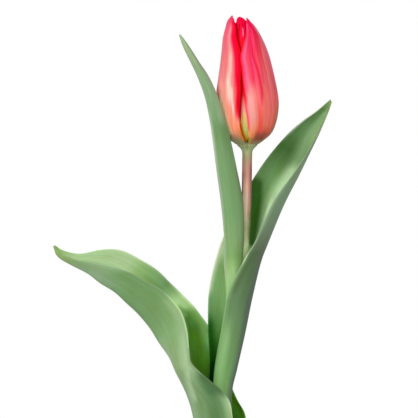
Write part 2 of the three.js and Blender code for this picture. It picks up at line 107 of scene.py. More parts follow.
def make_floor():
    turn = np.linspace(0, 2 * np.pi, FLOOR_SIDES, endpoint=False)
    ring = np.stack([np.cos(turn), np.sin(turn), 0 * turn], 1) * FLOOR_RADIUS
    mesh = bpy.data.meshes.new("floor")
    mesh.from_pydata(ring.tolist(), [], [list(range(FLOOR_SIDES))])
    paint = Paint("floor")
    paint.put(paint.shader.inputs["Base Color"], FLOOR_COLOUR)
    paint.put(paint.shader.inputs["Roughness"], 0.9)
    mesh.materials.append(paint.material)
    floor = new_object("floor", mesh)


# ---------------------------------------------------------------- curves and meshes
def cubic(t, a, b, into, out):
    """Between a at t = 0 and b at 1, with these slopes there."""
    return (2 * t**3 - 3 * t**2 + 1) * a + (t**3 - 2 * t**2 + t) * into \
        + (3 * t**2 - 2 * t**3) * b + (t**3 - t**2) * out


def spline(points, steps):
    """Points on the smooth curve through the given ones, evenly spread over its spans."""
    points = np.asarray(points, float)
    ends = np.vstack([2 * points[0] - points[1], points, 2 * points[-1] - points[-2]])
    place = np.asarray(steps) * (len(points) - 1)
    span = np.minimum(place.astype(int), len(points) - 2)
    t = (place - span)[:, None]
    a, b, c, d = (ends[span + k] for k in range(4))
    return cubic(t, b, c, (c - a) / 2, (d - b) / 2)


def line_value(pairs, x):
    """Value at x on the smooth line through [x, value] pairs in rising x."""
    xs, ys = np.array(pairs, float).T
    order = np.arange(len(xs))
    after, before = np.minimum(order + 1, len(xs) - 1), np.maximum(order - 1, 0)
    slopes = (ys[after] - ys[before]) / (xs[after] - xs[before])
    x = np.clip(x, xs[0], xs[-1])
    i = np.clip(np.searchsorted(xs, x, side="right") - 1, 0, len(xs) - 2)
    width = xs[i + 1] - xs[i]
    return cubic((x - xs[i]) / width, ys[i], ys[i + 1], width * slopes[i], width * slopes[i + 1])


def smoothstep(x, low, high):
    t = np.clip((x - low) / (high - low), 0, 1)
    return t * t * (3 - 2 * t)


def between(x, low, lower, upper, high):
    """1 from lower to upper, with a smooth rise from low and fall to high."""
    return smoothstep(x, low, lower) * (1 - smoothstep(x, upper, high))


def bell(x, centre, width):
    return np.exp(-(((x - centre) / width) ** 2))


def unit(vectors):
    return vectors / np.maximum(np.linalg.norm(vectors, axis=-1, keepdims=True), 1e-12)


def make_piece(name, vertices, faces, uvs, materials, slot, material_of_face=None):
    """A smooth-shaded mesh from millimetre vertices, in the place of the CAD node of its name."""
    mesh = bpy.data.meshes.new(name)
    mesh.from_pydata((np.asarray(vertices) * MM).tolist(), [], faces)
    layer = mesh.uv_layers.new(name="Blade")
    layer.data.foreach_set("uv", np.asarray(uvs, np.float32).ravel())
    for material in materials:
        mesh.materials.append(material)
    if material_of_face is not None:
        mesh.polygons.foreach_set("material_index", np.asarray(material_of_face, np.int32))
    mesh.polygons.foreach_set("use_smooth", np.ones(len(faces), bool))
    mesh.update()
    piece = new_object(name, mesh)
    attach(piece, "root")
    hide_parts(name)
    return piece


def quads(number):
    """Corners of the faces between the neighbours in a grid of point numbers."""
    corners = [number[:-1, :-1], number[:-1, 1:], number[1:, 1:], number[1:, :-1]]
    return np.stack([corner.ravel() for corner in corners], 1)


def blade_thickness(middle, thinning, edge, tip, u, v):
    """Thickness of a blade: a share thinner at its margins, and rounded off at them and at the tip.

    A higher edge power keeps the margins' rounding narrower. The tip's takes a share of the length.
    """
    side = np.abs(u)
    across = middle * (1 - thinning * side**0.8) * np.sqrt(np.clip(1 - side**edge, 0, 1))
    return across * smoothstep(v[-1] - v, -0.02, tip)[:, None]


def make_blade(name, grid, thickness, u, v, materials, slot):
    """A thin closed blade round a grid of points, with its two faces joined in a fine edge."""
    rows, columns = grid.shape[:2]
    normal = unit(np.cross(np.gradient(grid, axis=1), np.gradient(grid, axis=0)))
    half = normal * (thickness[..., None] / 2)
    vertices = np.concatenate([(grid + half).reshape(-1, 3), (grid - half).reshape(-1, 3)])
    number = np.arange(rows * columns).reshape(rows, columns)
    inner = number + rows * columns
    for edge in (np.s_[:, 0], np.s_[:, -1], np.s_[-1, :], np.s_[0, :]):
        inner[edge] = number[edge]
        vertices[number[edge]] = grid[edge]
    faces = np.concatenate([quads(number), quads(inner)[:, [0, 3, 2, 1]]])
    which = np.repeat([0, 1], len(faces) // 2)
    uvs = np.tile(np.stack(np.meshgrid(u, v), -1).reshape(-1, 2), (2, 1))[faces]
    used, compact = np.unique(faces, return_inverse=True)
    make_piece(name, vertices[used], compact.reshape(-1, 4).tolist(), uvs, materials, slot, which)


def turned_grid(outline, sides, axis_x=None):
    """Vertices, faces and UVs of an outline of [radius, height] turned about Z, its ends on the axis."""
    outline = np.asarray(outline, float)
    turn = np.linspace(0, 2 * np.pi, sides, endpoint=False)
    radius, z = outline[1:-1].T[..., None]
    wall = np.stack([radius * np.cos(turn), radius * np.sin(turn), z + 0 * turn], -1).reshape(-1, 3)
    vertices = np.vstack([wall, [[0, 0, outline[0, 1]], [0, 0, outline[-1, 1]]]])
    if axis_x:
        vertices[:, 0] += axis_x(vertices[:, 2])
    length = np.concatenate([[0], np.cumsum(np.linalg.norm(np.diff(outline, axis=0), axis=1))])
    height = length / length[-1]
    number = np.arange(len(wall)).reshape(-1, sides)
    faces = quads(np.hstack([number, number[:, :1]])).tolist()
    share = np.arange(sides + 1) / sides
    sheet = np.stack(np.meshgrid(share, height[1:-1]), -1).reshape(-1, 2)
    uvs = sheet[quads(np.arange(len(sheet)).reshape(-1, sides + 1))].reshape(-1, 2).tolist()
    foot, top, last = len(wall), len(wall) + 1, len(wall) - sides
    for j, (a, b) in enumerate(zip(share[:-1], share[1:])):
        k = (j + 1) % sides
        faces += [[k, j, foot], [last + j, last + k, top]]
        uvs += [(b, height[1]), (a, height[1]), (a, 0), (a, height[-2]), (b, height[-2]), (a, 1)]
    return vertices, faces, uvs


# ---------------------------------------------------------------- materials
def srgb(r, g, b):
    """A colour written as 0-255 screen values, as Blender's linear colour."""
    def linear(c):
        c /= 255
        return c / 12.92 if c <= 0.04045 else ((c + 0.055) / 1.055) ** 2.4
    return (linear(r), linear(g), linear(b), 1)


MIX_FACTOR, MIX_A, MIX_B, MIX_RESULT = 0, 6, 7, 2  # the colour sockets of Blender's Mix node


class Nodes:
    """A node tree, with short calls for the nodes that are used often."""

    def __init__(self, tree):
        self.tree = tree

    def node(self, kind, inputs=(), **settings):
        node = self.tree.nodes.new(kind)
        for key, value in settings.items():
            setattr(node, key, value)
        for key, value in dict(inputs).items():
            self.put(node.inputs[key], value)
        return node

    def put(self, socket, value):
        if isinstance(value, bpy.types.NodeSocket):
            self.tree.links.new(value, socket)
        else:
            socket.default_value = value

    def math(self, operation, *values):
        return self.node("ShaderNodeMath", enumerate(values), operation=operation).outputs[0]

    add = partialmethod(math, "ADD")
    sub = partialmethod(math, "SUBTRACT")
    mul = partialmethod(math, "MULTIPLY")
    div = partialmethod(math, "DIVIDE")

    def smooth(self, value, low, high, start=0, end=1):
        inputs = {"Value": value, "From Min": low, "From Max": high, "To Min": start, "To Max": end}
        return self.node("ShaderNodeMapRange", inputs, interpolation_type="SMOOTHSTEP").outputs[0]

    def mix(self, factor, a, b):
        inputs = {MIX_FACTOR: factor, MIX_A: a, MIX_B: b}
        return self.node("ShaderNodeMix", inputs, data_type="RGBA").outputs[MIX_RESULT]


STROKE_COLOURS = ("Under", "Colour")
STROKE_NUMBERS = ("U", "V", "Foot", "Middle", "Tip", "Start", "End", "Left", "Right", "Strength", "Soft")


def stroke_group():
    """Node group that lays a soft lengthwise stroke of colour over another one.

    The stroke's middle runs at u = Foot, Middle and Tip where v is Start, halfway and End. It fades
    over Left and Right to its sides and over Soft at its ends.
    """
    tree = bpy.data.node_groups.new("stroke", "ShaderNodeTree")
    for names, kind in ((STROKE_COLOURS, "NodeSocketColor"), (STROKE_NUMBERS, "NodeSocketFloat")):
        for name in names:
            tree.interface.new_socket(name, in_out="INPUT", socket_type=kind)
    tree.interface.new_socket("Colour", in_out="OUTPUT", socket_type="NodeSocketColor")
    nodes = Nodes(tree)
    count = len(STROKE_COLOURS + STROKE_NUMBERS)
    given = nodes.node("NodeGroupInput").outputs[:count]
    under, colour, u, v, foot, middle, tip, start, end, left, right, strength, soft = given
    add, sub, mul, div, smooth = nodes.add, nodes.sub, nodes.mul, nodes.div, nodes.smooth
    share = div(sub(v, start), sub(end, start))
    straight = nodes.math("MULTIPLY_ADD", sub(tip, foot), share, foot)
    bow = sub(middle, mul(add(foot, tip), 0.5))
    arch = mul(mul(share, sub(1, share)), 4)
    off = sub(u, nodes.math("MULTIPLY_ADD", bow, arch, straight))
    to_left = smooth(div(mul(off, -1), left), 0, 1, 1, 0)
    to_right = smooth(div(off, right), 0, 1, 1, 0)
    rise = smooth(v, sub(start, soft), add(start, soft))
    fall = smooth(v, sub(end, soft), add(end, soft), 1, 0)
    mask = mul(mul(mul(to_left, to_right), mul(rise, fall)), strength)
    nodes.node("NodeGroupOutput", {0: nodes.mix(mask, under, colour)})
    return tree


STROKE = stroke_group()


NOISE_SPAN = (0.3, 0.7)  # most of a noise's values lie in it


class Paint(Nodes):
    """A material, with short calls for what its look is made of."""

    def __init__(self, name, specular=0.5):
        self.material = bpy.data.materials.new(name)
        self.material.use_nodes = True
        super().__init__(self.material.node_tree)
        self.shader = self.tree.nodes["Principled BSDF"]
        self.put(self.shader.inputs["Specular IOR Level"], specular)
        uv = self.node("ShaderNodeUVMap", uv_map="Blade").outputs[0]
        self.u, self.v = self.node("ShaderNodeSeparateXYZ", {0: uv}).outputs[:2]

    def place(self):
        """The point on the object, in metres, and its height."""
        where = self.node("ShaderNodeTexCoord").outputs["Object"]
        return where, self.node("ShaderNodeSeparateXYZ", {0: where}).outputs[2]

    def noise(self, vector, scale, detail=2, roughness=0.5):
        inputs = {"Vector": vector, "Scale": scale, "Detail": detail, "Roughness": roughness}
        return self.node("ShaderNodeTexNoise", inputs).outputs[0]

    def streaks(self, u_scale, v_scale, seed=0, detail=3, roughness=0.5):
        """Noise drawn out along the blade."""
        place = (self.mul(self.u, u_scale), self.mul(self.v, v_scale), seed)
        vector = self.node("ShaderNodeCombineXYZ", enumerate(place)).outputs[0]
        return self.noise(vector, 1, detail, roughness)

    def ramp(self, factor, stops):
        node = self.node("ShaderNodeValToRGB", {0: factor})
        elements = node.color_ramp.elements
        while len(elements) < len(stops):
            elements.new(0.5)
        for element, (percent, *colour) in zip(elements, stops):
            element.position = percent / 100
            element.color = srgb(*colour)
        return node.outputs[0]

    def vary(self, colour, value, saturation=1, hue=0.5):
        """The colour with its brightness, and if asked its saturation, scaled and its hue shifted."""
        inputs = {"Hue": hue, "Saturation": saturation, "Value": value, "Color": colour}
        return self.node("ShaderNodeHueSaturation", inputs).outputs[0]

    def pigment(self, colour, amount):
        """The colour that this many times its pigment gives: each channel to that power."""
        return self.node("ShaderNodeGamma", {0: colour, 1: amount}).outputs[0]

    def about_one(self, *waves):
        """1 plus each wave's swing about 0.5, times its amount."""
        total = 1
        for wave, amount in waves:
            swing = self.mul(self.sub(wave, 0.5), amount)
            total = self.add(total, swing)
        return total

    def wander(self, amount, u_scale, v_scale, seed):
        """The u coordinate, shifted a little to either side as v rises, so that strokes aren't ruled."""
        drift = self.sub(self.streaks(u_scale, v_scale, seed, 2), 0.5)
        return self.add(self.u, self.mul(drift, amount))

    def strokes(self, colour, rows, u, v):
        """Lays strokes in turn, each a row as the tables of strokes have it."""
        for stroke_colour, path, span, sides, strength, soft in rows:
            path = path if isinstance(path, tuple) else (path, path, path)
            shape = [percent / 100 for percent in (*path, *span, *sides, strength, soft)]
            inputs = dict(zip(STROKE_COLOURS + STROKE_NUMBERS, (colour, srgb(*stroke_colour), u, v, *shape)))
            colour = self.node("ShaderNodeGroup", inputs, node_tree=STROKE).outputs[0]
        return colour

    def skin(self, weight, radius, scale):
        """Lets light through under the surface."""
        for name, value in (("Weight", weight), ("Radius", radius), ("Scale", scale)):
            self.put(self.shader.inputs["Subsurface " + name], value)

    def finish(self, colour, wave, roughness, height, distance, strength):
        """The material, once its colour, a noise that varies its roughness, and its bump are given."""
        self.put(self.shader.inputs["Base Color"], colour)
        self.put(self.shader.inputs["Roughness"], self.smooth(wave, *NOISE_SPAN, *roughness))
        inputs = {"Height": height, "Distance": distance, "Strength": strength}
        self.put(self.shader.inputs["Normal"], self.node("ShaderNodeBump", inputs).outputs[0])
        return self.material


def leaf_material(name, run, strokes, seed, specular=0.3):
    """Leaf skin: a colour run from foot to tip and strokes, which give the leaf's own greens together with
    painted highlights and painted shade, then lengthwise veins, waxy patches and a thin paler margin."""
    paint = Paint(name, specular)
    colour = paint.strokes(paint.ramp(paint.v, run), strokes, paint.wander(0.08, 1.5, 5, seed), paint.v)
    veins = paint.streaks(13, 0.9, seed, 4, 0.6)
    fine = paint.streaks(60, 3.5, seed, 3, 0.6)
    patch = paint.streaks(2.5, 8, seed + 3, 6, 0.62)
    value = paint.about_one((veins, 0.42), (fine, 0.3), (patch, 0.42))
    edge = paint.smooth(paint.math("ABSOLUTE", paint.u), 0.95, 0.995, 0, 0.22)
    saturation = paint.sub(paint.about_one((patch, -0.5)), edge)
    hue = paint.sub(paint.about_one((patch, 0.05), (veins, 0.06)), 0.5)
    colour = paint.vary(colour, paint.add(value, edge), saturation, hue)
    paint.skin(0.1, (0.5, 1, 0.3), 0.001)
    relief = paint.add(veins, paint.mul(fine, 0.6))
    return paint.finish(colour, patch, (0.42, 0.6), relief, 0.0003, 0.5)


# Colour runs: percent of the way from foot to tip, then the colour there.
# Strokes, in percent: colour, u of the middle line (at foot, middle and tip where it isn't straight),
# span in v, reach to the left and right, strength, soft ends. On a blade u is -100 at the left margin
# and 100 at the right one, seen from the keel's side with the tip up.
ALL = 300  # a reach past the margin
# Lower leaf, keel side: the run's darker dip at 29 percent is painted shade low on the leaf, and the paler
# step above it is painted light on the rounded fold; the rest is the leaf's glaucous green.
LOWER_OUTER_RUN = [
    (0, 150, 176, 120), (20, 112, 152, 96), (29, 108, 145, 92), (33, 128, 161, 109), (37, 138, 170, 116),
    (45, 130, 164, 107), (50, 118, 156, 98), (57, 107, 145, 89), (66, 107, 146, 90), (74, 119, 156, 104),
    (80, 126, 156, 111), (86, 121, 154, 104), (92, 126, 153, 90), (100, 134, 164, 92),
]
# Lower leaf, inside: the run's pale bands (51 to 55 and 73 to 87 percent) are painted light where the wavy
# inner face turns up to the light, and the darker bands between them are painted shade, over the leaf's own
# green.
LOWER_INNER_RUN = [
    (0, 104, 146, 78), (30, 116, 158, 86), (36, 132, 178, 102), (40, 136, 182, 104), (44, 130, 180, 100),
    (48, 124, 172, 88), (51.5, 172, 211, 142), (54.5, 179, 212, 146), (57, 134, 174, 108),
    (59.5, 108, 148, 88), (65, 130, 172, 106), (69, 150, 188, 118), (73, 179, 208, 153),
    (80, 181, 211, 156), (87, 179, 211, 155), (91, 166, 196, 138), (96, 144, 182, 110),
    (100, 130, 168, 92),
]
# On the lower leaf's keel side the pale strokes are painted highlights and the dark ones painted shade, over
# the leaf's own green and grey tones.
LOWER_OUTER_STROKES = [
    ((86, 125, 74), (68, 70, 78), (21, 32.5), (20, 18), 92, 2),
    # painted highlight: rim light along the right margin
    ((192, 230, 166), 100, (10, 28.8), (20, ALL), 92, 2),
    # painted shade low on the leaf, under the fold
    ((62, 103, 50), (82, 88, 96), (29.8, 34.2), (20, ALL), 97, 1.2),
    # painted highlight on the pale zone by the fold
    ((162, 190, 146), (80, 86, 94), (34.8, 47), (26, 20), 85, 2),
    # painted shade: a dark line along the right margin
    ((44, 96, 26), 100, (35, 42.5), (7, ALL), 85, 1),
    ((148, 178, 128), 98, (43, 57), (34, ALL), 75, 3),
    ((146, 176, 132), (20, 24, 26), (20, 47), (ALL, 26), 80, 3),
    ((176, 204, 162), (38, 50, 78), (29, 35.2), (24, 10), 70, 1.4),
    ((97, 136, 79), (88, 84, 82), (59, 74), (30, ALL), 80, 3),
    ((131, 160, 124), (30, 36, 32), (72, 87), (30, 22), 65, 3),
    # painted highlight along the right margin
    ((156, 208, 120), 100, (42, 57), (6, ALL), 85, 2),
]
# On the lower leaf's inside, the bright vivid greens near the left margin are painted light that lifts the
# shade there and stands in for light shining through the leaf; the dark strokes are painted shade in the
# fold, and the pale ones are painted highlights on the crests of its waves.
LOWER_INNER_STROKES = [
    ((160, 232, 136), (-96, -94, -94), (33, 41), (ALL, 26), 95, 1.5),
    ((146, 226, 100), -88, (10, 32), (ALL, 20), 95, 1.5),
    # painted shade in the fold, kept a vivid green for the light that shines through the leaf
    ((86, 144, 0), (-64, -69, -74), (20, 46), (22, 62), 97, 1.5),
    ((112, 194, 44), (-86, -84, -84), (20, 37.5), (ALL, 22), 85, 1.5),
    ((78, 130, 40), (-79, -82, -83), (43, 50.5), (12, 14), 90, 1.5),
    ((58, 116, 24), (-69, -77, -81), (44, 51.5), (6, 5), 75, 2),
    # painted highlight: the pale band across the inner face
    ((206, 238, 176), (-65, -74, -78.5), (45, 55), (3, ALL), 80, 3),
    ((124, 164, 94), -78, (48.7, 53), (9, 12), 75, 1),
    ((150, 184, 126), (-50, -44, -40), (74, 94), (12, ALL), 60, 3),
]
# Right leaf, keel side: the run's grey dip from 42 to 57 percent is painted shade on the side turned from
# the light, over the leaf's greyer bloom.
RIGHT_OUTER_RUN = [
    (0, 150, 176, 120), (18, 130, 177, 104), (24, 121, 170, 98), (30, 110, 155, 88), (36, 104, 142, 88),
    (42, 95, 130, 86), (48, 89, 119, 80), (53, 90, 111, 79), (56.5, 96, 117, 86), (60, 112, 136, 104),
    (64, 118, 149, 113), (76, 125, 152, 112), (86, 128, 148, 112), (100, 120, 155, 84),
]
# On the right leaf's keel side the dark strokes are painted shade and the pale edge stroke is a painted
# highlight, over its grey-green bloom.
RIGHT_OUTER_STROKES = [
    # painted shade: the grey side by the keel, turned from the light
    ((87, 104, 86), (-14, -20, -28), (-10, 56), (30, ALL), 92, 5),
    ((113, 151, 105), (-42, -38, -36), (17, 33), (14, 12), 75, 3),
    ((131, 178, 110), (-72, -76, -86), (14, 37), (20, 22), 85, 3),
    ((52, 102, 42), -100, (16, 32), (ALL, 9), 80, 2),
    ((114, 154, 94), -100, (33, 49), (ALL, 14), 80, 2),
    ((76, 106, 62), (-86, -84, -78), (43.5, 54), (14, 18), 85, 1.5),
    ((132, 164, 124), -94, (60, 69), (14, 14), 80, 2),
    ((130, 160, 112), -100, (50, 59.5), (ALL, 7), 75, 1.5),
    # painted highlight along the left margin
    ((158, 186, 134), -100, (48.5, 51.2), (ALL, 7), 90, 1),
]
# Right leaf, inside: the near-black green at the foot is painted shade deep in the sheath round the stem,
# the dark band at 76 percent is painted shade too, and the pale stretch round 50 percent is painted light,
# over the leaf's own green.
RIGHT_INNER_RUN = [
    (0, 4, 70, 0), (28, 0, 80, 0), (33, 64, 128, 40), (37, 106, 158, 84), (40, 127, 174, 105),
    (45, 142, 187, 117), (50, 152, 190, 126), (54, 146, 184, 118), (58, 128, 166, 100),
    (63.5, 118, 158, 92), (68, 110, 152, 91), (72, 103, 143, 82), (76, 74, 116, 52), (80, 92, 133, 76),
    (86, 92, 129, 77), (90, 91, 125, 73), (95, 78, 119, 60), (100, 120, 150, 86),
]
# On the right leaf's inside the pale strokes are painted highlights, brightest along the right margin, and
# the dark ones are painted shade.
RIGHT_INNER_STROKES = [
    ((176, 209, 159), (32, 30, 10), (57, 74), (ALL, 34), 95, 2),
    ((118, 154, 102), (10, 10, 2), (73.5, 95), (ALL, 46), 95, 2),
    ((144, 176, 118), (-24, -28, -34), (79, 99), (44, 24), 90, 3),
    ((106, 132, 90), (-60, -75, -90), (78, 89), (ALL, 22), 70, 2),
    ((206, 234, 176), 96, (48.5, 55), (30, ALL), 90, 1.5),
    # painted shadow that the stem casts across the inner face
    ((44, 98, 0), (43, 57, 86), (55.5, 67.5), (16, ALL), 97, 1),
    ((208, 246, 190), (34, 36, 38), (57, 64.5), (10, 7), 80, 1.5),
    ((192, 202, 180), 100, (79, 97), (14, ALL), 80, 3),
    # painted highlight along the right margin
    ((228, 242, 210), 100, (42, 53), (12, ALL), 90, 1.5),
    # painted shade low down by the right margin
    ((20, 96, 0), (93, 92, 95), (29, 37.5), (16, ALL), 85, 1.5),
]
LEFT_OUTER_RUN = [
    (0, 150, 190, 120), (12, 134, 175, 109), (17, 156, 194, 127), (20, 158, 193, 128),
    (23, 144, 182, 112), (26, 122, 162, 95), (30, 124, 160, 103), (36, 114, 154, 99), (50, 113, 150, 96),
    (56, 105, 144, 89), (61, 112, 150, 99), (68, 124, 156, 112), (76, 127, 158, 111),
    (82, 132, 158, 116), (90, 141, 166, 122), (100, 154, 176, 134),
]
# Left leaf: the pale grey stroke at 49.5 to 60.5 percent is the waxy bloom with a painted highlight on it,
# and the dark stroke at the right margin is painted shade; the other strokes mix the leaf's own greens with
# painted light.
LEFT_OUTER_STROKES = [
    ((170, 206, 140), -60, (6, 20), (ALL, 60), 90, 2),
    ((166, 188, 153), (-74, -72, -66), (20, 64), (ALL, 46), 97, 3),
    ((143, 160, 132), -84, (37.5, 45.5), (ALL, 40), 90, 2),
    ((196, 206, 194), -84, (49.5, 60.5), (ALL, 34), 85, 2),
    ((148, 176, 134), (46, 50, 56), (58.5, 78), (40, ALL), 85, 3),
    ((108, 124, 86), 100, (27, 46), (42, ALL), 80, 3),
    ((106, 140, 90), (-14, -10, -8), (52, 58), (12, 14), 60, 2),
    ((106, 138, 92), -12, (68, 73), (10, 10), 60, 2),
    ((150, 172, 138), 50, (74, 97), (44, ALL), 65, 3),
    ((150, 170, 138), (-66, -66, -60), (60, 92), (ALL, 30), 80, 4),
]
LEFT_INNER_RUN = [
    (0, 60, 112, 36), (40, 92, 138, 70), (80, 106, 150, 84), (100, 130, 165, 86),
]


# ---------------------------------------------------------------- the plant's axis
STEM_AXIS = [[80, 0], [95, 0.4], [119, 1.6], [143, 5], [169, 8.8], [194.5, 12.1], [214, 13.6], [241, 14.1]]
BLOOM_AXIS = [[246, 14], [270, 13.9], [283, 13.6], [292.5, 12.9], [300.5, 11.6], [305, 10.9], [311, 10.3]]


def stem_x(z):
    return line_value(STEM_AXIS, z)


def bloom_x(z):
    return line_value(BLOOM_AXIS, z)


# ---------------------------------------------------------------- leaves
# Sections from base to tip: keel, left margin, right margin as seen from the keel's side with the
# tip up, and how far each half bows out, as a share of its width.
LEAF_LOWER = [
    ((-9.7, 0, 63.6), (9.6, 1.5, 63.6), (9.05, -3.5, 63.6), (0.462, 0.416)),
    ((-9.7, 0, 72), (9.6, 1.5, 72), (9.05, -3.5, 72), (0.462, 0.416)),
    ((-9.7, 0, 82), (9.6, 1.5, 82), (9.05, -3.5, 82), (0.462, 0.416)),
    ((-10.9, 0, 96), (11.2, 1.8, 96), (8.6, -6.8, 96), (0.465, 0.357)),
    ((-12.3, 0, 110), (13.1, 2, 110), (7.2, -11, 110), (0.47, 0.29)),
    ((-15.3, 0, 120.5), (8.5, 7, 120.5), (3.6, -12.5, 121.5), (0.42, 0.25)),
    ((-20.2, -0.5, 132), (1.5, 12, 139), (-12.6, -14, 135.9), (0.3, 0.22)),
    ((-24.3, -1, 141), (-3.2, 12.5, 152.5), (-14.8, -15, 143.5), (0.25, 0.2)),
    ((-29.7, -1, 148.4), (-10.2, 11.5, 161.7), (-15.4, -16, 154.5), (0.2, 0.18)),
    ((-34.2, -1, 155.4), (-16.2, 11, 168.8), (-18.5, -16, 164.1), (0.18, 0.16)),
    ((-40.2, -1, 162.6), (-23.9, 10.5, 177.3), (-27, -14.5, 172.9), (0.16, 0.15)),
    ((-45.8, -1, 167.9), (-30, 10, 183.8), (-35.5, -13, 177.6), (0.15, 0.14)),
    ((-51.6, -1, 173.3), (-38.5, 9, 188.8), (-43.8, -11.5, 182.5), (0.14, 0.13)),
    ((-58.9, -1, 177.9), (-49, 7, 193.6), (-53.3, -9.5, 186), (0.13, 0.12)),
    ((-65.4, -1, 182.8), (-58.5, 4.5, 194.2), (-62.3, -6.5, 187.6), (0.12, 0.12)),
    ((-73.4, -1, 186.8), (-69.5, 1.5, 192.3), (-71.5, -3.5, 189.2), (0.1, 0.1)),
    ((-80, -1, 190.8), (-77.7, 0.2, 193.8), (-79, -1.8, 192.2), (0.1, 0.1)),
    ((-82.9, -1, 195.9), (-82, -0.5, 196.4), (-82.4, -1.5, 196.2), (0.1, 0.1)),
]
LEAF_RIGHT = [
    ((5.6, 0, 67.2), (-4.3, -3.6, 67.2), (-4.85, 2.8, 67.2), (0.35, 0.384)),
    ((5.7, 0, 90), (-4.2, -3.8, 90), (-4.9, 3, 90), (0.35, 0.38)),
    ((6, 0, 108), (-3.9, -4.4, 108), (-5.1, 3.4, 108), (0.34, 0.37)),
    ((6.1, 0, 123.5), (-3, -5.4, 125), (-5.1, 4.2, 126), (0.33, 0.36)),
    ((8.5, 0, 134.5), (-1.8, -6.4, 137), (-4.9, 5, 138.5), (0.31, 0.34)),
    ((12.4, 0, 152), (1.2, -8, 153.5), (-5.7, 7, 155.5), (0.28, 0.32)),
    ((15.8, 0, 169), (4.4, -9.5, 172.4), (-4.8, 9, 175), (0.25, 0.3)),
    ((19.8, 0, 187), (12.6, -11.5, 190.4), (-0.2, 11, 193.5), (0.22, 0.28)),
    ((22.9, 0.5, 196.5), (18.1, -12, 199), (4.4, 11.5, 204.6), (0.2, 0.26)),
    ((30.5, 1.5, 215.5), (27, -11.5, 217.8), (13.8, 10, 224.2), (0.18, 0.22)),
    ((37.7, 3, 231.5), (37.7, -9, 232.9), (22.8, 8, 238.5), (0.17, 0.2)),
    ((44.2, 4.5, 246.2), (46.1, -5.5, 246.4), (33.45, 5.5, 251.1), (0.15, 0.18)),
    ((48.7, 4, 254.8), (50.4, -3, 254.2), (41.3, 4, 258.2), (0.13, 0.15)),
    ((52.6, 3, 261.6), (53.7, -0.5, 261.2), (48.8, 3, 263.6), (0.1, 0.1)),
    ((56.1, 2.2, 268.1), (56.7, 1.4, 268.9), (55.8, 2.4, 269.4), (0.1, 0.1)),
]
LEAF_LEFT = [
    ((4.2, -3.6, 150), (1.8, 2, 150), (9.8, -2, 150), (0.26, 0.3)),
    ((6.2, -3.8, 164), (3.8, 1.6, 164), (11.9, -2.2, 164), (0.24, 0.28)),
    ((6.7, -4.9, 175), (3.8, 0, 175), (12.6, -4, 175), (0.2, 0.2)),
    ((6, -6.2, 186), (2.8, -1, 186), (11.6, -5, 186), (0.15, 0.12)),
    ((5.7, -7, 200), (2.7, -2, 200), (12.5, -5.6, 200), (0.13, 0.1)),
    ((4.4, -8.4, 218), (1, -3.5, 218), (12, -6.4, 218), (0.12, 0.1)),
    ((2, -11, 234.5), (-1.1, -6, 234), (8.8, -8.8, 235), (0.12, 0.1)),
    ((-0.2, -13.8, 250.5), (-3.2, -9, 250), (5.2, -11.8, 251), (0.12, 0.1)),
    ((-2.3, -15.4, 261.5), (-4.8, -11, 261), (1.8, -13.6, 262), (0.12, 0.1)),
    ((-4.5, -14.9, 271), (-7.1, -11, 271), (-0.9, -13, 271), (0.12, 0.1)),
    ((-7.9, -13.8, 280.5), (-10.7, -10.5, 280.5), (-5, -12, 280), (0.11, 0.1)),
    ((-11.9, -12.2, 287.8), (-14, -9.6, 287.5), (-9.6, -11, 287), (0.1, 0.1)),
    ((-16, -10.8, 295), (-17.4, -9, 294.5), (-14.3, -10, 294.4), (0.1, 0.1)),
    ((-19.4, -9.9, 301.5), (-20, -9.3, 301.2), (-19.1, -9.7, 301.3), (0.1, 0.1)),
]
# Name, sections, waves along the margins and their height, then run, strokes, seed and perhaps gloss
# of the keel's side and of the inside.
LEAVES = [
    ("leaf_lower", LEAF_LOWER, 3.5, 0.7, (LOWER_OUTER_RUN, LOWER_OUTER_STROKES, 1),
     (LOWER_INNER_RUN, LOWER_INNER_STROKES, 2, 0.16)),
    ("leaf_right", LEAF_RIGHT, 2.5, 0.4, (RIGHT_OUTER_RUN, RIGHT_OUTER_STROKES, 3),
     (RIGHT_INNER_RUN, RIGHT_INNER_STROKES, 4, 0.2)),
    ("leaf_left", LEAF_LEFT, 2, 0.2, (LEFT_OUTER_RUN, LEFT_OUTER_STROKES, 5), (LEFT_INNER_RUN, [], 6)),
]
LEAF_ROWS = 220
LEAF_HALF_COLUMNS = 26
LEAF_THICKNESS = 1.1
WAVES_FROM = 0.45  # share of a half's width beyond which it waves
KEEL_PASSES = 14
KEEL_REACH = 0.16


def half_section(keel, margin, outward, bow, share):
    """Points from the keel to the margin on an arc that bows out by a share of the half's width."""
    chord = margin - keel
    width = np.linalg.norm(chord, axis=-1, keepdims=True)
    along = chord / width
    away = unit(outward - along * (outward * along).sum(-1, keepdims=True))
    half_turn = 2 * np.arctan(2 * bow)[:, None]
    radius = width / 2 / np.sin(half_turn)
    turn = half_turn * (2 * share - 1)
    forward = width / 2 + radius * np.sin(turn)
    out = radius * (np.cos(turn) - np.cos(half_turn))
    return keel[:, None] + along[:, None] * forward[..., None] + away[:, None] * out[..., None]


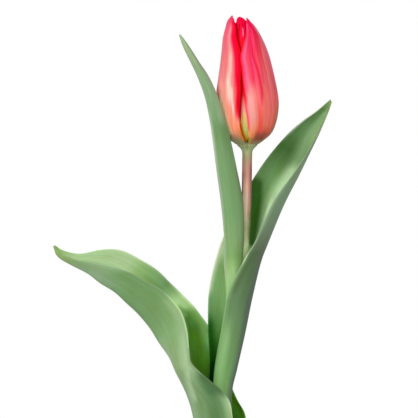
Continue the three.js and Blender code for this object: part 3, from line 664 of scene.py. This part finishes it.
def leaf_grid(sections, waves, wave_height):
    v = np.linspace(0, 1, LEAF_ROWS)
    keel, left, right, bows = (spline(line, v) for line in zip(*sections))
    tipward = np.gradient(keel, axis=0)
    left_out = np.cross(tipward, left - keel)
    right_out = np.cross(right - keel, tipward)
    share = np.sin(np.linspace(0, np.pi / 2, LEAF_HALF_COLUMNS + 1))
    left_half = half_section(keel, left, left_out, bows[:, 0], share)
    right_half = half_section(keel, right, right_out, bows[:, 1], share)
    grid = np.concatenate([left_half[:, ::-1], right_half[:, 1:]], 1)
    u = np.concatenate([-share[::-1], share[1:]])
    swell = wave_height * np.sin(waves * 2 * np.pi * v) * np.sin(np.pi * v) ** 2
    lift = unit(unit(left_out) + unit(right_out))
    reach = np.sign(u) * -smoothstep(np.abs(u), WAVES_FROM, 1)
    grid = grid + (swell[:, None] * reach)[..., None] * lift[:, None]
    return round_keel(grid, u), u, v


def round_keel(grid, u):
    """Softens the fold along the keel by averaging the columns next to it, and keeps its line."""
    soft = grid
    for _ in range(KEEL_PASSES):
        soft = soft.copy()
        soft[:, 1:-1] = (soft[:, :-2] + 2 * soft[:, 1:-1] + soft[:, 2:]) / 4
    near = bell(u, 0, KEEL_REACH)[:, None]
    soft = grid * (1 - near) + soft * near
    keel = grid.shape[1] // 2
    back = (grid[:, keel] - soft[:, keel])[:, None]
    return soft + back * bell(u, 0, 2 * KEEL_REACH)[:, None]


def make_leaf(name, sections, waves, wave_height, outer, inner):
    grid, u, v = leaf_grid(sections, waves, wave_height)
    thickness = blade_thickness(LEAF_THICKNESS, 0.45, 24, 0.05, u, v)
    looks = [leaf_material(name, *outer), leaf_material(name + "_inside", *inner)]
    make_blade(name, grid, thickness, u, v, looks, "leaf")


# ---------------------------------------------------------------- tepals
# Profiles of the bloom's layers from foot to tip: radius, height.
OUTER_PROFILE = [
    (5.1, 246.9), (8.4, 249.3), (11.4, 251.9), (13.4, 255.3), (14.9, 260.5), (15.6, 267), (15, 273.5),
    (14, 279), (12.7, 286), (11.4, 292.5), (9.6, 299.5), (7.5, 305), (6.3, 308.3), (4.7, 311.2),
]
INNER_PROFILE = [
    (3.8, 248.3), (5.6, 249.6), (8, 252.4), (10, 256), (11.7, 261), (12.5, 267), (11.8, 273.5),
    (10.7, 279), (9.4, 286), (8, 292.5), (6.2, 299.5), (4.1, 305), (3.4, 308.3), (2, 310.6),
]
TEPAL_ROWS = 130
TEPAL_COLUMNS = 72
TEPAL_THICKNESS = 0.7
RIB_HEIGHT = 0.05
TIP_DROP = 0.5
PAINTED_SPANS = 12  # of a profile, from its foot: the paint's v is 1 there
# Where the left outer tepal's ridge ends and its flank begins: [height, angle].
CREST = [[252, -15], [258, -16], [264, -20], [270, -26], [279, -31.5], [290, -35], [304, -40]]


# A relief says how far a tepal stands out from its profile, in mm, at an angle in degrees from the front.
def ridge_and_flank(angle, z, left, right):
    """The left outer tepal stands out in a ridge and falls back to its right margin."""
    crest = line_value(CREST, z)
    reach = smoothstep(z, 251, 260) * (1 - 0.6 * smoothstep(z, 293, 308))
    flank = smoothstep((angle - crest) / np.maximum(right - crest, 4), 0, 1)
    return reach * (0.35 * bell(angle, crest - 3, 9) - 1.7 * flank)


def lip_and_valley(angle, z, left, right):
    """The right outer tepal has a raised left lip, a valley beside it, a rib and a swelling low down."""
    upper = between(z, 266, 280, 300, 309)
    lip = 0.4 * (1 - smoothstep(angle - left, 3, 8.5)) * smoothstep(z, 262, 276)
    rib = 0.28 * bell(angle, 31, 4.5) * between(z, 258, 268, 298, 306)
    swelling = 0.3 * bell(angle, 11, 9) * bell(z, 265, 11)
    return lip - 0.6 * upper * bell(angle, 18, 9) + rib + swelling


def middle_rib(angle, z, left, right):
    """A soft rib up the middle of a tepal."""
    return 0.25 * bell(angle, (left + right) / 2, 7) * between(z, 252, 262, 300, 309)


def ruffled_top(angle, z, left, right):
    """The middle rib, and small folds that gather towards the top edge."""
    folds = 0.16 * np.sin(np.radians(angle * 13)) + 0.1 * np.sin(np.radians(angle * 29 + 40))
    return middle_rib(angle, z, left, right) + folds * smoothstep(z, 300, 308)


# Name, profile, share of the profile's length, relief, and the angles of the left and right margins,
# one for each point of the profile.
TEPALS = [
    ("tepal_outer_left", OUTER_PROFILE, 1, ridge_and_flank,
     [-92, -94, -95, -96, -95, -89, -85, -90, -96, -97, -94, -85, -80, -60],
     [-10, -11, -14, -14.6, -12.8, -11.7, -11, -12.3, -10.5, -12, -19.3, -21, -30, -44]),
    ("tepal_outer_right", OUTER_PROFILE, 0.972, lip_and_valley,
     [6, 5, 2.8, 2, 0, -3.6, -5.8, -8.3, -10.3, -12.2, 0.5, 17, 23.8, 34.5],
     [105, 107, 108, 110, 110, 110, 110, 110, 110, 108, 104, 92, 58, 40]),
    ("tepal_outer_back", OUTER_PROFILE, 0.944, middle_rib,
     [131, 129, 128, 128, 128, 127, 127, 127, 128, 130, 134, 146, 158, 172],
     [229, 231, 232, 232, 232, 233, 234, 233, 232, 230, 226, 214, 202, 188]),
    ("tepal_inner_front", INNER_PROFILE, 1, ruffled_top,
     [-45, -48, *[-50] * 10, -34, -30],
     [35, 38, 40, *[42] * 7, 56, 72, 64, 30]),
    ("tepal_inner_back_left", INNER_PROFILE, 0.923, middle_rib,
     [-167, -170, *[-172] * 7, -170, -166, -156, -146, -134],
     [-79, -76, -74, *[-73] * 6, -74, -78, -88, -100, -112]),
    ("tepal_inner_back_right", INNER_PROFILE, 0.915, middle_rib,
     [74, 72, 71, *[70] * 6, 71, 75, 86, 94, 106],
     [162, 165, 167, *[168] * 6, 166, 162, 152, 142, 130]),
]


def tepal_grid(profile, height, relief, left, right):
    v = np.linspace(0, 1, TEPAL_ROWS)
    radius, z = spline(profile, v * height).T[:, :, None]
    paint_v = v * height * (len(profile) - 1) / PAINTED_SPANS
    first, last = spline(np.stack([left, right], 1), v).T[:, :, None]
    u = np.sin(np.linspace(-np.pi / 2, np.pi / 2, TEPAL_COLUMNS + 1))
    angle = (first + last) / 2 + (last - first) / 2 * u
    ribs = RIB_HEIGHT * np.sin(22 * u + 3 * np.sin(5 * u)) * smoothstep(v, 0.04, 0.2)[:, None] * (1 - u**6)
    reach = radius + relief(angle, z, first, last) + ribs
    turn = np.radians(angle)
    top = z - TIP_DROP * u**2 * smoothstep(v, 0.9, 1)[:, None]
    return np.stack([bloom_x(z) + reach * np.sin(turn), -reach * np.cos(turn), top], -1), u, paint_v


def make_tepals():
    inside = tepal_material("tepal_inside", TEPAL_INSIDE_RUN, [], 20)
    plain = tepal_material("tepal_outer_back", TEPAL_RUN, TEPAL_STROKES, 14)
    for name, profile, height, relief, left, right in TEPALS:
        outside = tepal_material(name, *TEPAL_PAINT[name]) if name in TEPAL_PAINT else plain
        grid, u, v = tepal_grid(profile, height, relief, left, right)
        thickness = blade_thickness(TEPAL_THICKNESS, 0, 16, 0.04, u, v)
        slot = "tepal" if profile is OUTER_PROFILE else "tepal_inner"
        make_blade(name, grid, thickness, u, v, [outside, inside], slot)


LEFT_TEPAL_RUN = [
    (0, 150, 160, 112), (4, 156, 154, 110), (8, 170, 148, 106), (12, 200, 148, 112), (17, 228, 142, 108),
    (25, 250, 146, 110), (37, 238, 148, 126), (50, 234, 148, 134), (60, 229, 124, 124),
    (70, 228, 115, 118), (82, 227, 98, 112), (92, 228, 80, 108), (100, 214, 76, 102),
]
# Left outer tepal: the crimson flank, pinks, orange foot and olive base are its own colour; the strokes
# marked below also paint light and shade.
LEFT_TEPAL_STROKES = [
    # painted light: lifts the lower left, where the left leaf's shadow falls
    ((255, 214, 166), (40, 24, -22), (17, 47), (34, 20), 100, 4),
    ((255, 152, 142), (-50, -40, -34), (40, 58), (40, 24), 80, 6),
    ((243, 124, 146), (-72, -60, -50), (56, 86), (50, 26), 85, 6),
    ((218, 84, 108), (-16, -10, -2), (76, 98), (12, 14), 60, 6),
    # this and the next two: the pale ridge, the tepal's own pale flame with a painted highlight along it
    ((226, 196, 180), (56, 36, 38), (42, 62), (34, 20), 100, 5),
    ((228, 176, 162), (37, 40, 42), (60, 76), (24, 18), 95, 5),
    ((224, 138, 138), (42, 40, 36), (76, 93), (26, 16), 90, 5),
    ((230, 152, 134), (76, 68, 60), (28, 48), (16, 16), 70, 4),
    ((236, 4, 54), (100, 80, 77), (31, 56), (26, ALL), 100, 3),
    ((236, 0, 60), (76, 65, 69), (53, 103), (17, ALL), 100, 3),
    ((240, 0, 28), (90, 82, 84), (36, 96), (16, ALL), 80, 6),
    # this and the next: deep reds at the right margin, painted shade in the crevice by the inner tepal
    ((196, 0, 0), (102, 97, 97), (28, 64), (12, ALL), 100, 5),
    ((222, 0, 6), (98, 96, 94), (62, 100), (12, ALL), 80, 4),
    ((214, 6, 14), (100, 99, 96), (24, 36), (7, ALL), 90, 2),
    ((222, 122, 34), 100, (5, 24), (26, ALL), 85, 4),
    ((84, 92, 30), (-50, -22, 2), (5, 14.5), (100, 28), 85, 2),
    ((250, 40, 90), 90, (99, 120), (120, ALL), 90, 2),
    ((110, 60, 60), 20, (107.3, 120), (ALL, ALL), 90, 0.6),
    # painted shade: the dark strip low on the left part
    ((150, 30, 16), (-28, -52, -74), (42.5, 53), (10, 16), 80, 2),
    ((255, 226, 228), (69, 60, 51), (35.5, 51), (7, 8), 50, 3),
    # painted shade deepening the crevice at the right margin
    ((120, 0, 4), (99, 97, 97), (34, 52), (6, ALL), 42, 3),
]
RIGHT_TEPAL_RUN = [
    (0, 152, 146, 104), (4.5, 158, 122, 98), (8, 156, 98, 78), (12, 154, 82, 62), (17, 184, 86, 69),
    (22, 228, 100, 77), (28, 246, 114, 94), (36, 250, 116, 106), (46, 250, 106, 110), (52, 243, 95, 105),
    (59, 242, 91, 104), (68, 240, 76, 95), (76, 237, 60, 84), (82, 240, 44, 78), (88, 247, 14, 72),
    (94, 254, 4, 82), (100, 242, 24, 90),
]
# Right outer tepal: mostly its own salmon, rose and crimson; the strokes marked below also paint light and
# shade.
RIGHT_TEPAL_STROKES = [
    ((206, 116, 90), (16, 26, 34), (10, 42), (22, ALL), 90, 5),
    ((188, 156, 134), (42, 50, 64), (8, 38), (20, ALL), 80, 6),
    ((252, 116, 116), (-2, 0, 6), (41, 82), (16, 32), 95, 4),
    ((255, 94, 112), 14, (78, 91), (18, 40), 90, 3),
    # painted light: lifts the right part, which faces away from the light
    ((238, 128, 142), (52, 46, 42), (42, 96), (18, ALL), 85, 6),
    ((255, 130, 112), (-24, -27, -29), (25, 54), (12, 10), 85, 5),
    ((250, 84, 74), (-46, -52, -56), (19, 40), (14, 12), 80, 4),
    ((255, 154, 94), (-90, -88, -86), (10, 29), (ALL, 34), 95, 3),
    ((190, 160, 58), (-100, -98, -96), (-5, 11), (ALL, 30), 85, 3),
    # the pale pink low on the left, partly a painted highlight where it faces the light
    ((240, 160, 152), (-84, -80, -80), (25, 53), (ALL, 30), 95, 10),
    ((242, 48, 94), (-62, -58, -56), (55, 97), (20, 22), 90, 5),
    # deeper red along the valley beside the lip, partly painted shade
    ((214, 8, 62), (-44, -42, -64), (43, 86), (9, 10), 85, 5),
    ((255, 62, 98), -42, (80, 91), (10, 12), 80, 3),
    # the lip's lilac with a painted highlight along its rolled edge
    ((238, 96, 144), (-87, -87, -84), (49, 97), (12, 13), 95, 4),
    ((234, 44, 84), (-99, -98, -98), (20, 45), (ALL, 13), 85, 3),
    # deep crimson along the rolled left margin, partly painted shade where it turns away
    ((226, 0, 40), (-98, -98, -100), (42, 88), (ALL, 12), 100, 3),
    ((128, 62, 40), (-40, -30, -10), (8.5, 12.5), (30, 30), 60, 2),
    ((255, 120, 148), (36, 30, 26), (60, 93), (20, ALL), 80, 4),
]
INNER_TEPAL_RUN = [
    (0, 150, 120, 40), (5, 200, 140, 10), (9, 222, 158, 8), (12, 216, 186, 56), (16, 230, 226, 112),
    (21, 236, 250, 140), (26, 252, 234, 134), (30, 255, 216, 130), (34, 255, 198, 138),
    (38, 255, 164, 146), (43, 254, 112, 110), (47, 250, 40, 50), (51, 250, 0, 16), (80, 246, 0, 20),
    (92, 234, 0, 56), (100, 238, 0, 60),
]
INNER_TEPAL_STROKES = [
    ((242, 116, 0), (-14, -22, -34), (8, 29), (ALL, 18), 95, 3),
    ((236, 30, 0), (-34, -36, -38), (21, 30), (ALL, 8), 90, 2),
    ((226, 244, 116), 14, (10, 18), (12, 12), 90, 2),
    # painted shade: dark red in the crevice beside the left outer tepal
    ((196, 0, 0), (-27, -33, -39), (78, 95.5), (12, 9), 95, 2),
    ((232, 2, 84), (-20, -18, -16), (82.5, 92), (10, 10), 95, 2),
    # painted highlight: a small pale glint near the top
    ((232, 110, 144), 1, (85, 91), (9, 9), 100, 1.5),
]
TEPAL_RUN = [
    (0, 150, 140, 96), (6, 152, 104, 84), (12, 190, 100, 86), (20, 244, 128, 96), (34, 246, 132, 112),
    (50, 244, 118, 118), (70, 244, 92, 110), (88, 240, 56, 88), (100, 226, 26, 74),
]
TEPAL_STROKES = [
    ((250, 206, 188), (0, 2, 0), (34, 80), (22, 20), 70, 12),
    ((236, 26, 70), (-50, -46, -36), (45, 95), (10, 10), 70, 10),
    ((236, 26, 70), (50, 46, 36), (45, 95), (10, 10), 70, 10),
    ((246, 116, 152), -100, (40, 95), (10, 16), 80, 8),
    ((246, 116, 152), 100, (40, 95), (16, 10), 80, 8),
]
TEPAL_INSIDE_RUN = [
    (0, 90, 80, 30), (12, 150, 120, 30), (28, 226, 150, 60), (40, 238, 60, 40), (60, 232, 8, 26),
    (100, 238, 20, 60),
]
TEPAL_PAINT = {
    "tepal_outer_left": (LEFT_TEPAL_RUN, LEFT_TEPAL_STROKES, 11),
    "tepal_outer_right": (RIGHT_TEPAL_RUN, RIGHT_TEPAL_STROKES, 12, 0.03),
    "tepal_inner_front": (INNER_TEPAL_RUN, INNER_TEPAL_STROKES, 13, 0.03),
}


def tepal_material(name, run, strokes, seed, drift=0.05):
    """Silky tepal skin: a colour run from foot to tip and strokes, which give the tepal's own markings
    together with painted highlights and painted shade, then fine lengthwise streaks.
    """
    paint = Paint(name, 0.05)
    colour = paint.strokes(paint.ramp(paint.v, run), strokes, paint.wander(drift, 3, 7, seed), paint.v)
    streak = paint.streaks(16, 1, seed, 4, 0.62)
    fine = paint.streaks(60, 2.5, seed, 3, 0.6)
    colour = paint.pigment(colour, paint.about_one((streak, 1.1), (fine, 0.7)))
    colour = paint.vary(colour, paint.about_one((fine, 0.2)))
    paint.skin(0.08, (1, 0.3, 0.3), 0.0008)
    relief = paint.add(streak, paint.mul(fine, 0.5))
    return paint.finish(colour, streak, (0.38, 0.52), relief, 0.0003, 0.4)


# ---------------------------------------------------------------- stem, pistil and stamens
STEM_FOOT = 58.8
STEM_RADII = (3, 2.5)  # low down and under the bloom
STEM_TENON = 2.6  # radius of the foot, which stands in the bulb's nose
STEM_SIDES = 48
FLARE = [(2.5, 241), (2.6, 243), (3, 244.2), (3.8, 245.2), (4.8, 246.1), (5.2, 246.9), (4.9, 247.7),
         (4.3, 248.1), (3.6, 248.15), (2.6, 248.2), (1.5, 248.25)]  # radius and height of the receptacle
FLARE_TOP = 248.3


def make_stem():
    z = np.linspace(STEM_FOOT + 0.6, FLARE[0][1], 120)
    share = (z - z[0]) / (z[-1] - z[0])
    low, high = STEM_RADII
    outline = [(0, STEM_FOOT), (STEM_TENON, STEM_FOOT), *zip(low + (high - low) * np.sqrt(share), z)]
    outline += [*spline(FLARE, np.linspace(0, 1, 48))[1:], (0, FLARE_TOP)]
    make_piece("stem", *turned_grid(outline, STEM_SIDES, stem_x), [stem_material()], "stem")


STEM_RUN_SPAN = (0.08, 0.248)  # heights between which the stem's colours run
OLIVE_SPAN = (0.2425, 0.2465)  # heights over which the olive streaks come in
# Its very pale stretch from about 60 to 84 percent is painted light that offsets the leaves' shadow on the
# stem, with lighter and darker bands in it; above it the stem is flushed its own pink.
STEM_RUN = [
    (0, 190, 204, 150), (60, 214, 222, 170), (69, 255, 255, 212), (71.2, 228, 224, 176),
    (74.5, 198, 196, 154), (77, 226, 216, 178), (80, 250, 222, 190), (84, 255, 214, 190),
    (87, 255, 192, 168), (90, 214, 150, 130), (93, 202, 154, 130), (95.4, 174, 160, 120),
    (97.8, 174, 188, 136), (100, 174, 180, 130),
]
# On the stem u is percent of a turn from +X: 75 faces the front.
STEM_STROKES = [
    # this and the next three strokes: painted shade darkening the right side towards its edge, turned away
    # from the light
    ((204, 146, 132), (83, 82, 81), (77, 94), (8, 10), 85, 2),
    ((150, 92, 98), (93, 91, 89), (77, 93.5), (10, 10), 95, 2),
    ((104, 84, 58), (96.5, 96, 96), (77, 88), (5, 4), 80, 1.5),
    ((114, 98, 60), (95, 94, 93), (71, 79), (16, 6), 85, 2),
    ((160, 156, 122), 92, (95, 99), (10, 8), 60, 1),
    # painted shadow: a dark line at the left edge, in the shade of the left leaf
    ((50, 22, 8), (55, 56, 56), (82, 90), (6, 10), 95, 3),
]


def stem_material():
    """Green stem, flushed pink below the bloom, with fine fibres and olive streaks at the receptacle. Its
    run is lightened low down as painted light against the leaves' shadow, and its strokes add painted shade
    down its right side and a painted shadow line at its left edge.
    """
    paint = Paint("stem", 0.3)
    height = paint.place()[1]
    inputs = {"Value": height, "From Min": STEM_RUN_SPAN[0], "From Max": STEM_RUN_SPAN[1]}
    share = paint.node("ShaderNodeMapRange", inputs).outputs[0]
    streak = paint.streaks(26, 5)
    fibre = paint.streaks(70, 24)
    colour = paint.strokes(paint.ramp(share, STEM_RUN), STEM_STROKES, paint.u, share)
    olive = paint.mul(paint.smooth(height, *OLIVE_SPAN), paint.smooth(streak, 0.45, 0.65))
    colour = paint.mix(paint.mul(olive, 0.7), colour, srgb(124, 92, 50))
    colour = paint.vary(colour, paint.about_one((streak, 0.3), (fibre, 0.3)))
    paint.skin(0.08, (1, 0.7, 0.3), 0.001)
    return paint.finish(colour, fibre, (0.42, 0.58), paint.add(streak, fibre), 0.0002, 0.4)


def fleshy_material(name, ground, streaks):
    paint = Paint(name)
    streak = paint.streaks(20, 8)
    colour = paint.mix(paint.smooth(streak, 0.35, 0.75), ground, streaks)
    return paint.finish(colour, streak, (0.42, 0.58), streak, 0.0002, 0.4)


PISTIL_FOOT = 248.65
PISTIL_HEIGHT = 22
PISTIL_PROFILE = [(0.6, 0), (1.4, 0.3), (1.9, 4), (1.9, 16), (1.5, 19), (2.4, 19.8), (2.9, 21), (2.2, 21.8),
                  (0.8, 21.95)]  # radius, height above the foot
STIGMA_LOBES = 3
STIGMA_FROM = 18.6  # height above the foot at which the lobes begin


def make_pistil():
    outline = [(0, 0), *spline(PISTIL_PROFILE, np.linspace(0, 1, 60)), (0, PISTIL_HEIGHT)]
    vertices, faces, uvs = turned_grid(outline, 36)
    x, y, z = vertices.T
    lobe = 1 + 0.22 * np.cos(STIGMA_LOBES * np.arctan2(y, x)) * smoothstep(z, STIGMA_FROM, STIGMA_FROM + 1.2)
    z = z + PISTIL_FOOT
    material = fleshy_material("pistil", srgb(190, 196, 120), srgb(150, 170, 90))
    make_piece("pistil", np.stack([bloom_x(z) + x * lobe, y * lobe, z], 1), faces, uvs, [material], "pistil")


STAMENS = 6
STAMEN_FOOT = 248.3
STAMEN_LENGTH = 21
STAMEN_PROFILE = [(0.3, 0), (0.55, 1), (0.6, 5.25), (0.35, 10.5), (1, 11.3), (1.15, 13.5), (0.95, 19.8),
                  (0.35, 20.85)]  # radius, height above the foot
STAMEN_WIDTH = 0.75  # across, as a share of its depth
STAMEN_CIRCLE = 2.75
STAMEN_LEAN = math.radians(7)


def make_stamens():
    material = fleshy_material("stamen", srgb(46, 30, 42), srgb(92, 72, 40))
    outline = [(0, 0), *spline(STAMEN_PROFILE, np.linspace(0, 1, 40)), (0, STAMEN_LENGTH)]
    vertices, faces, uvs = turned_grid(outline, 20)
    middle = np.array([bloom_x(np.array(STAMEN_FOOT)), 0, STAMEN_FOOT])
    for k in range(STAMENS):
        turn = 2 * math.pi * (k + 0.5) / STAMENS
        out = np.array([math.cos(turn), math.sin(turn), 0])
        side = np.array([-math.sin(turn), math.cos(turn), 0])
        up = np.array([0, 0, 1]) * math.cos(STAMEN_LEAN) + out * math.sin(STAMEN_LEAN)
        axes = np.array([np.cross(side, up), side * STAMEN_WIDTH, up])
        placed = middle + STAMEN_CIRCLE * out + vertices @ axes
        make_piece(f"stamen_{k + 1}", placed, faces, uvs, [material], "stamen")


# ---------------------------------------------------------------- pot, soil and bulb
POT_FLOOR = 6
INNER_WALL = ((31, 8), (45.5, 88))  # radius and height at its foot and top
POT_OUTLINE = [
    (0, 0), (34.8, 0), (36, 1.2), (46.8, 71.4), (47.6, 72), (49.9, 72), (50.9, 73), (52.5, 87.6),
    (51.8, 89.3), (50.1, 90), (47.3, 90), (46, 89.4), *INNER_WALL[::-1], (29, POT_FLOOR), (0, POT_FLOOR),
]
POT_SIDES = 160
POT_STEP = 1.5  # mm along the outline between two rings of the mesh
DRAIN_HOLES = 3
DRAIN_CIRCLE = 19
DRAIN_RADIUS = 4
SHARP_EDGE = math.radians(40)


def cut(piece, cutters):
    """Cuts closed meshes out of a piece and keeps its corners crisp."""
    for cutter in cutters:
        modifier = piece.modifiers.new("cut", "BOOLEAN")
        modifier.operation = "DIFFERENCE"
        modifier.solver = "EXACT"
        modifier.object = cutter
    shaped = piece.evaluated_get(bpy.context.evaluated_depsgraph_get())
    mesh = bpy.data.meshes.new_from_object(shaped)
    piece.modifiers.clear()
    piece.data = mesh
    mesh.set_sharp_from_angle(angle=SHARP_EDGE)
    for cutter in cutters:
        bpy.data.objects.remove(cutter)


def cutter_of(outline, sides, x=0, y=0):
    """A turned closed mesh to cut with, out of the frame's bodies."""
    vertices, faces, _ = turned_grid(outline, sides)
    mesh = bpy.data.meshes.new("cutter")
    mesh.from_pydata(((vertices + [x, y, 0]) * MM).tolist(), [], faces)
    return new_object("cutter", mesh)


def rod(radius, low, high):
    """Outline of a plain rod."""
    return [(0, low), (radius, low), (radius, high), (0, high)]


def make_pot():
    outline = np.array(POT_OUTLINE, float)
    points = [outline[0]]
    for a, b in zip(outline[:-1], outline[1:]):
        steps = max(1, int(np.linalg.norm(b - a) / POT_STEP))
        points += [a + (b - a) * k / steps for k in range(1, steps + 1)]
    pot = make_piece("pot", *turned_grid(points, POT_SIDES), [clay_material()], "clay")
    drains = []
    for k in range(DRAIN_HOLES):
        turn = 2 * math.pi * (k + 0.5) / DRAIN_HOLES
        x, y = DRAIN_CIRCLE * math.cos(turn), DRAIN_CIRCLE * math.sin(turn)
        drains.append(cutter_of(rod(DRAIN_RADIUS, -1, POT_FLOOR + 1), 40, x, y))
    cut(pot, drains)


LIME_LOW = (0.03, 0)  # heights from which and to which lime thickens towards the pot's base
LIME_RIM = (0.084, 0.09)  # and towards its rim


def clay_material():
    """Fired clay: cloudy, with fine grain, faint turning marks, chalky lime low down and at the rim."""
    paint = Paint("clay", 0.25)
    where, height = paint.place()
    cloud = paint.noise(where, 18, 4)
    grain = paint.noise(where, 900, 3)
    level = paint.node("ShaderNodeCombineXYZ", {2: paint.mul(height, 420)}).outputs[0]
    rings = paint.noise(level, 1, 3, 0.6)
    colour = paint.mix(paint.smooth(cloud, 0.35, 0.7), srgb(186, 100, 66), srgb(206, 130, 92))
    colour = paint.mix(paint.smooth(grain, 0.55, 0.75, 0, 0.35), colour, srgb(225, 170, 140))
    limed = paint.add(paint.smooth(height, *LIME_LOW), paint.smooth(height, *LIME_RIM))
    patches = paint.smooth(paint.noise(where, 60, 5, 0.65), 0.42, 0.66)
    lime = paint.mul(limed, patches)
    colour = paint.mix(paint.mul(lime, 0.5), colour, srgb(226, 204, 186))
    colour = paint.vary(colour, paint.about_one((rings, 0.22), (cloud, 0.2)))
    relief = paint.add(paint.mul(grain, 0.5), rings)
    return paint.finish(colour, cloud, (0.78, 0.92), relief, 0.0004, 0.5)


GAP = 0.35  # between the soil and the pot or the bulb
BULB_BASE = 29
BULB_NOSE = 66.8
BULB_SOCKET = [(3.35, 66), (3.35, 58.6), (0, 58.5)]
BULB_PROFILE = spline([(5, BULB_BASE), (8, 29.6), (14, 34), (17.4, 40), (18, 45.5), (16, 52.5), (12.6, 58.4),
                       (9.8, 62.4), (6.6, 65.4), (4.4, BULB_NOSE), (3.5, BULB_NOSE)], np.linspace(0, 1, 70))
BULB_SIDES = 90
SOIL_TOP = 80  # at the pot's wall
SOIL_MOUND = 2  # how much higher it stands in the middle
(FOOT_RADIUS, FOOT_HEIGHT), (MOUTH_RADIUS, MOUTH_HEIGHT) = INNER_WALL
SOIL_SLOPE = (MOUTH_RADIUS - FOOT_RADIUS) * (SOIL_TOP - FOOT_HEIGHT) / (MOUTH_HEIGHT - FOOT_HEIGHT)
SOIL_MOUTH = FOOT_RADIUS + SOIL_SLOPE - GAP
SOIL_FOOT = [(0, 6.4), (28, 6.4), (30, 8.4), (SOIL_MOUTH, 78.5)]
SOIL_SIDES = 150
SHOOT_HOLE = 10.7
CRUMBS = 900
CRUMB_SIZES = (0.35, 1)
CRUMB_MARGIN = 1.5  # from the hole and the wall
PERLITE_SHARE = 0.07


def soil_lift(x, y):
    """How far the lumpy surface stands above its plain mound."""
    lump = np.sin(0.31 * x + 1.2) * np.cos(0.27 * y) + 0.6 * np.sin(0.55 * y - 0.4 * x)
    grit = np.sin(1.9 * x + 2 * np.sin(1.3 * y)) * np.sin(2.3 * y + 2 * np.cos(1.1 * x))
    return 0.7 * lump * smoothstep(SOIL_MOUTH - np.hypot(x, y), 0, 4) + 0.25 * grit


def icosahedron():
    """Its 12 corners at a distance of 1, and its 20 faces seen from outside."""
    rise = (1 + 5**0.5) / 2
    corners = [(0, a, b * rise) for a in (-1, 1) for b in (-1, 1)]
    shape = unit(np.array([np.roll(corner, k) for k in range(3) for corner in corners], float))
    near = np.linalg.norm(shape[:, None] - shape[None], axis=2) < 1.2
    faces = [(i, j, k) for i in range(12) for j in range(i + 1, 12) for k in range(j + 1, 12)
             if near[i, j] and near[j, k] and near[i, k]]
    return shape, [face if np.linalg.det(shape[list(face)]) > 0 else face[::-1] for face in faces]


def add_crumbs(mesh):
    """Crumbs of soil and a little perlite, half sunk in the surface."""
    random = np.random.default_rng(7)
    shape, triangles = icosahedron()
    ground = bmesh.new()
    ground.from_mesh(mesh)
    for _ in range(CRUMBS):
        radius = np.sqrt(random.uniform((SHOOT_HOLE + CRUMB_MARGIN) ** 2, (SOIL_MOUTH - CRUMB_MARGIN) ** 2))
        turn = random.uniform(0, 2 * np.pi)
        x, y = radius * np.cos(turn), radius * np.sin(turn)
        size = random.uniform(*CRUMB_SIZES)
        body = shape * size * random.uniform(0.7, 1.3, (12, 1)) * [1, 1, 0.75]
        height = SOIL_TOP + SOIL_MOUND * (1 - radius / SOIL_MOUTH) + soil_lift(x, y)
        body = (body + [x, y, height + 0.15 * size]) * MM
        points = [ground.verts.new(place) for place in body]
        material = int(random.random() < PERLITE_SHARE)
        for triangle in triangles:
            ground.faces.new([points[corner] for corner in triangle]).material_index = material
    ground.to_mesh(mesh)
    ground.free()


def make_soil():
    outline = SOIL_FOOT + [(SOIL_MOUTH * share, SOIL_TOP - 0.2 + SOIL_MOUND * (1 - share))
                           for share in np.linspace(0.985, 0.02, 60)]
    vertices, faces, uvs = turned_grid(outline + [(0, SOIL_TOP + SOIL_MOUND)], SOIL_SIDES)
    x, y, z = vertices.T
    vertices[:, 2] += smoothstep(z, 79, 79.7) * soil_lift(x, y)
    soil = make_piece("soil", vertices, faces, uvs, [soil_material(), perlite_material()], "soil")
    bulb_place = [(0, BULB_BASE - GAP), *(BULB_PROFILE + [GAP, 0]), (0, BULB_NOSE + GAP)]
    cut(soil, [cutter_of(bulb_place, BULB_SIDES), cutter_of(rod(SHOOT_HOLE, 58, 90), BULB_SIDES)])
    add_crumbs(soil.data)


def soil_material():
    """Dark crumbly potting soil with a few pale flecks."""
    paint = Paint("soil", 0.2)
    where = paint.place()[0]
    crumbs = paint.noise(where, 420, 5, 0.7)
    fleck = paint.smooth(paint.noise(where, 1100), 0.7, 0.78, 0, 0.8)
    colour = paint.mix(paint.smooth(crumbs, 0.35, 0.7), srgb(38, 27, 20), srgb(92, 68, 48))
    colour = paint.mix(fleck, colour, srgb(180, 165, 140))
    return paint.finish(colour, crumbs, (0.9, 1), crumbs, 0.0012, 0.9)


def perlite_material():
    paint = Paint("perlite", 0.3)
    grain = paint.noise(paint.place()[0], 1600, 3)
    colour = paint.mix(grain, srgb(188, 182, 168), srgb(236, 232, 222))
    return paint.finish(colour, grain, (0.84, 0.96), grain, 0.0003, 0.6)


def make_bulb():
    paint = Paint("bulb_skin")
    streak = paint.streaks(40, 3, detail=4)
    colour = paint.mix(paint.smooth(streak, 0.3, 0.75), srgb(120, 72, 38), srgb(190, 130, 78))
    skin = paint.finish(colour, streak, (0.47, 0.63), streak, 0.0005, 0.6)
    outline = [(0, BULB_BASE), *BULB_PROFILE, *BULB_SOCKET]
    make_piece("bulb", *turned_grid(outline, BULB_SIDES), [skin], "bulb_skin")


make_camera()
make_lights()
make_room()
make_floor()
make_pot()
make_soil()
make_bulb()
make_stem()
for leaf in LEAVES:
    make_leaf(*leaf)
make_tepals()
make_pistil()
make_stamens()
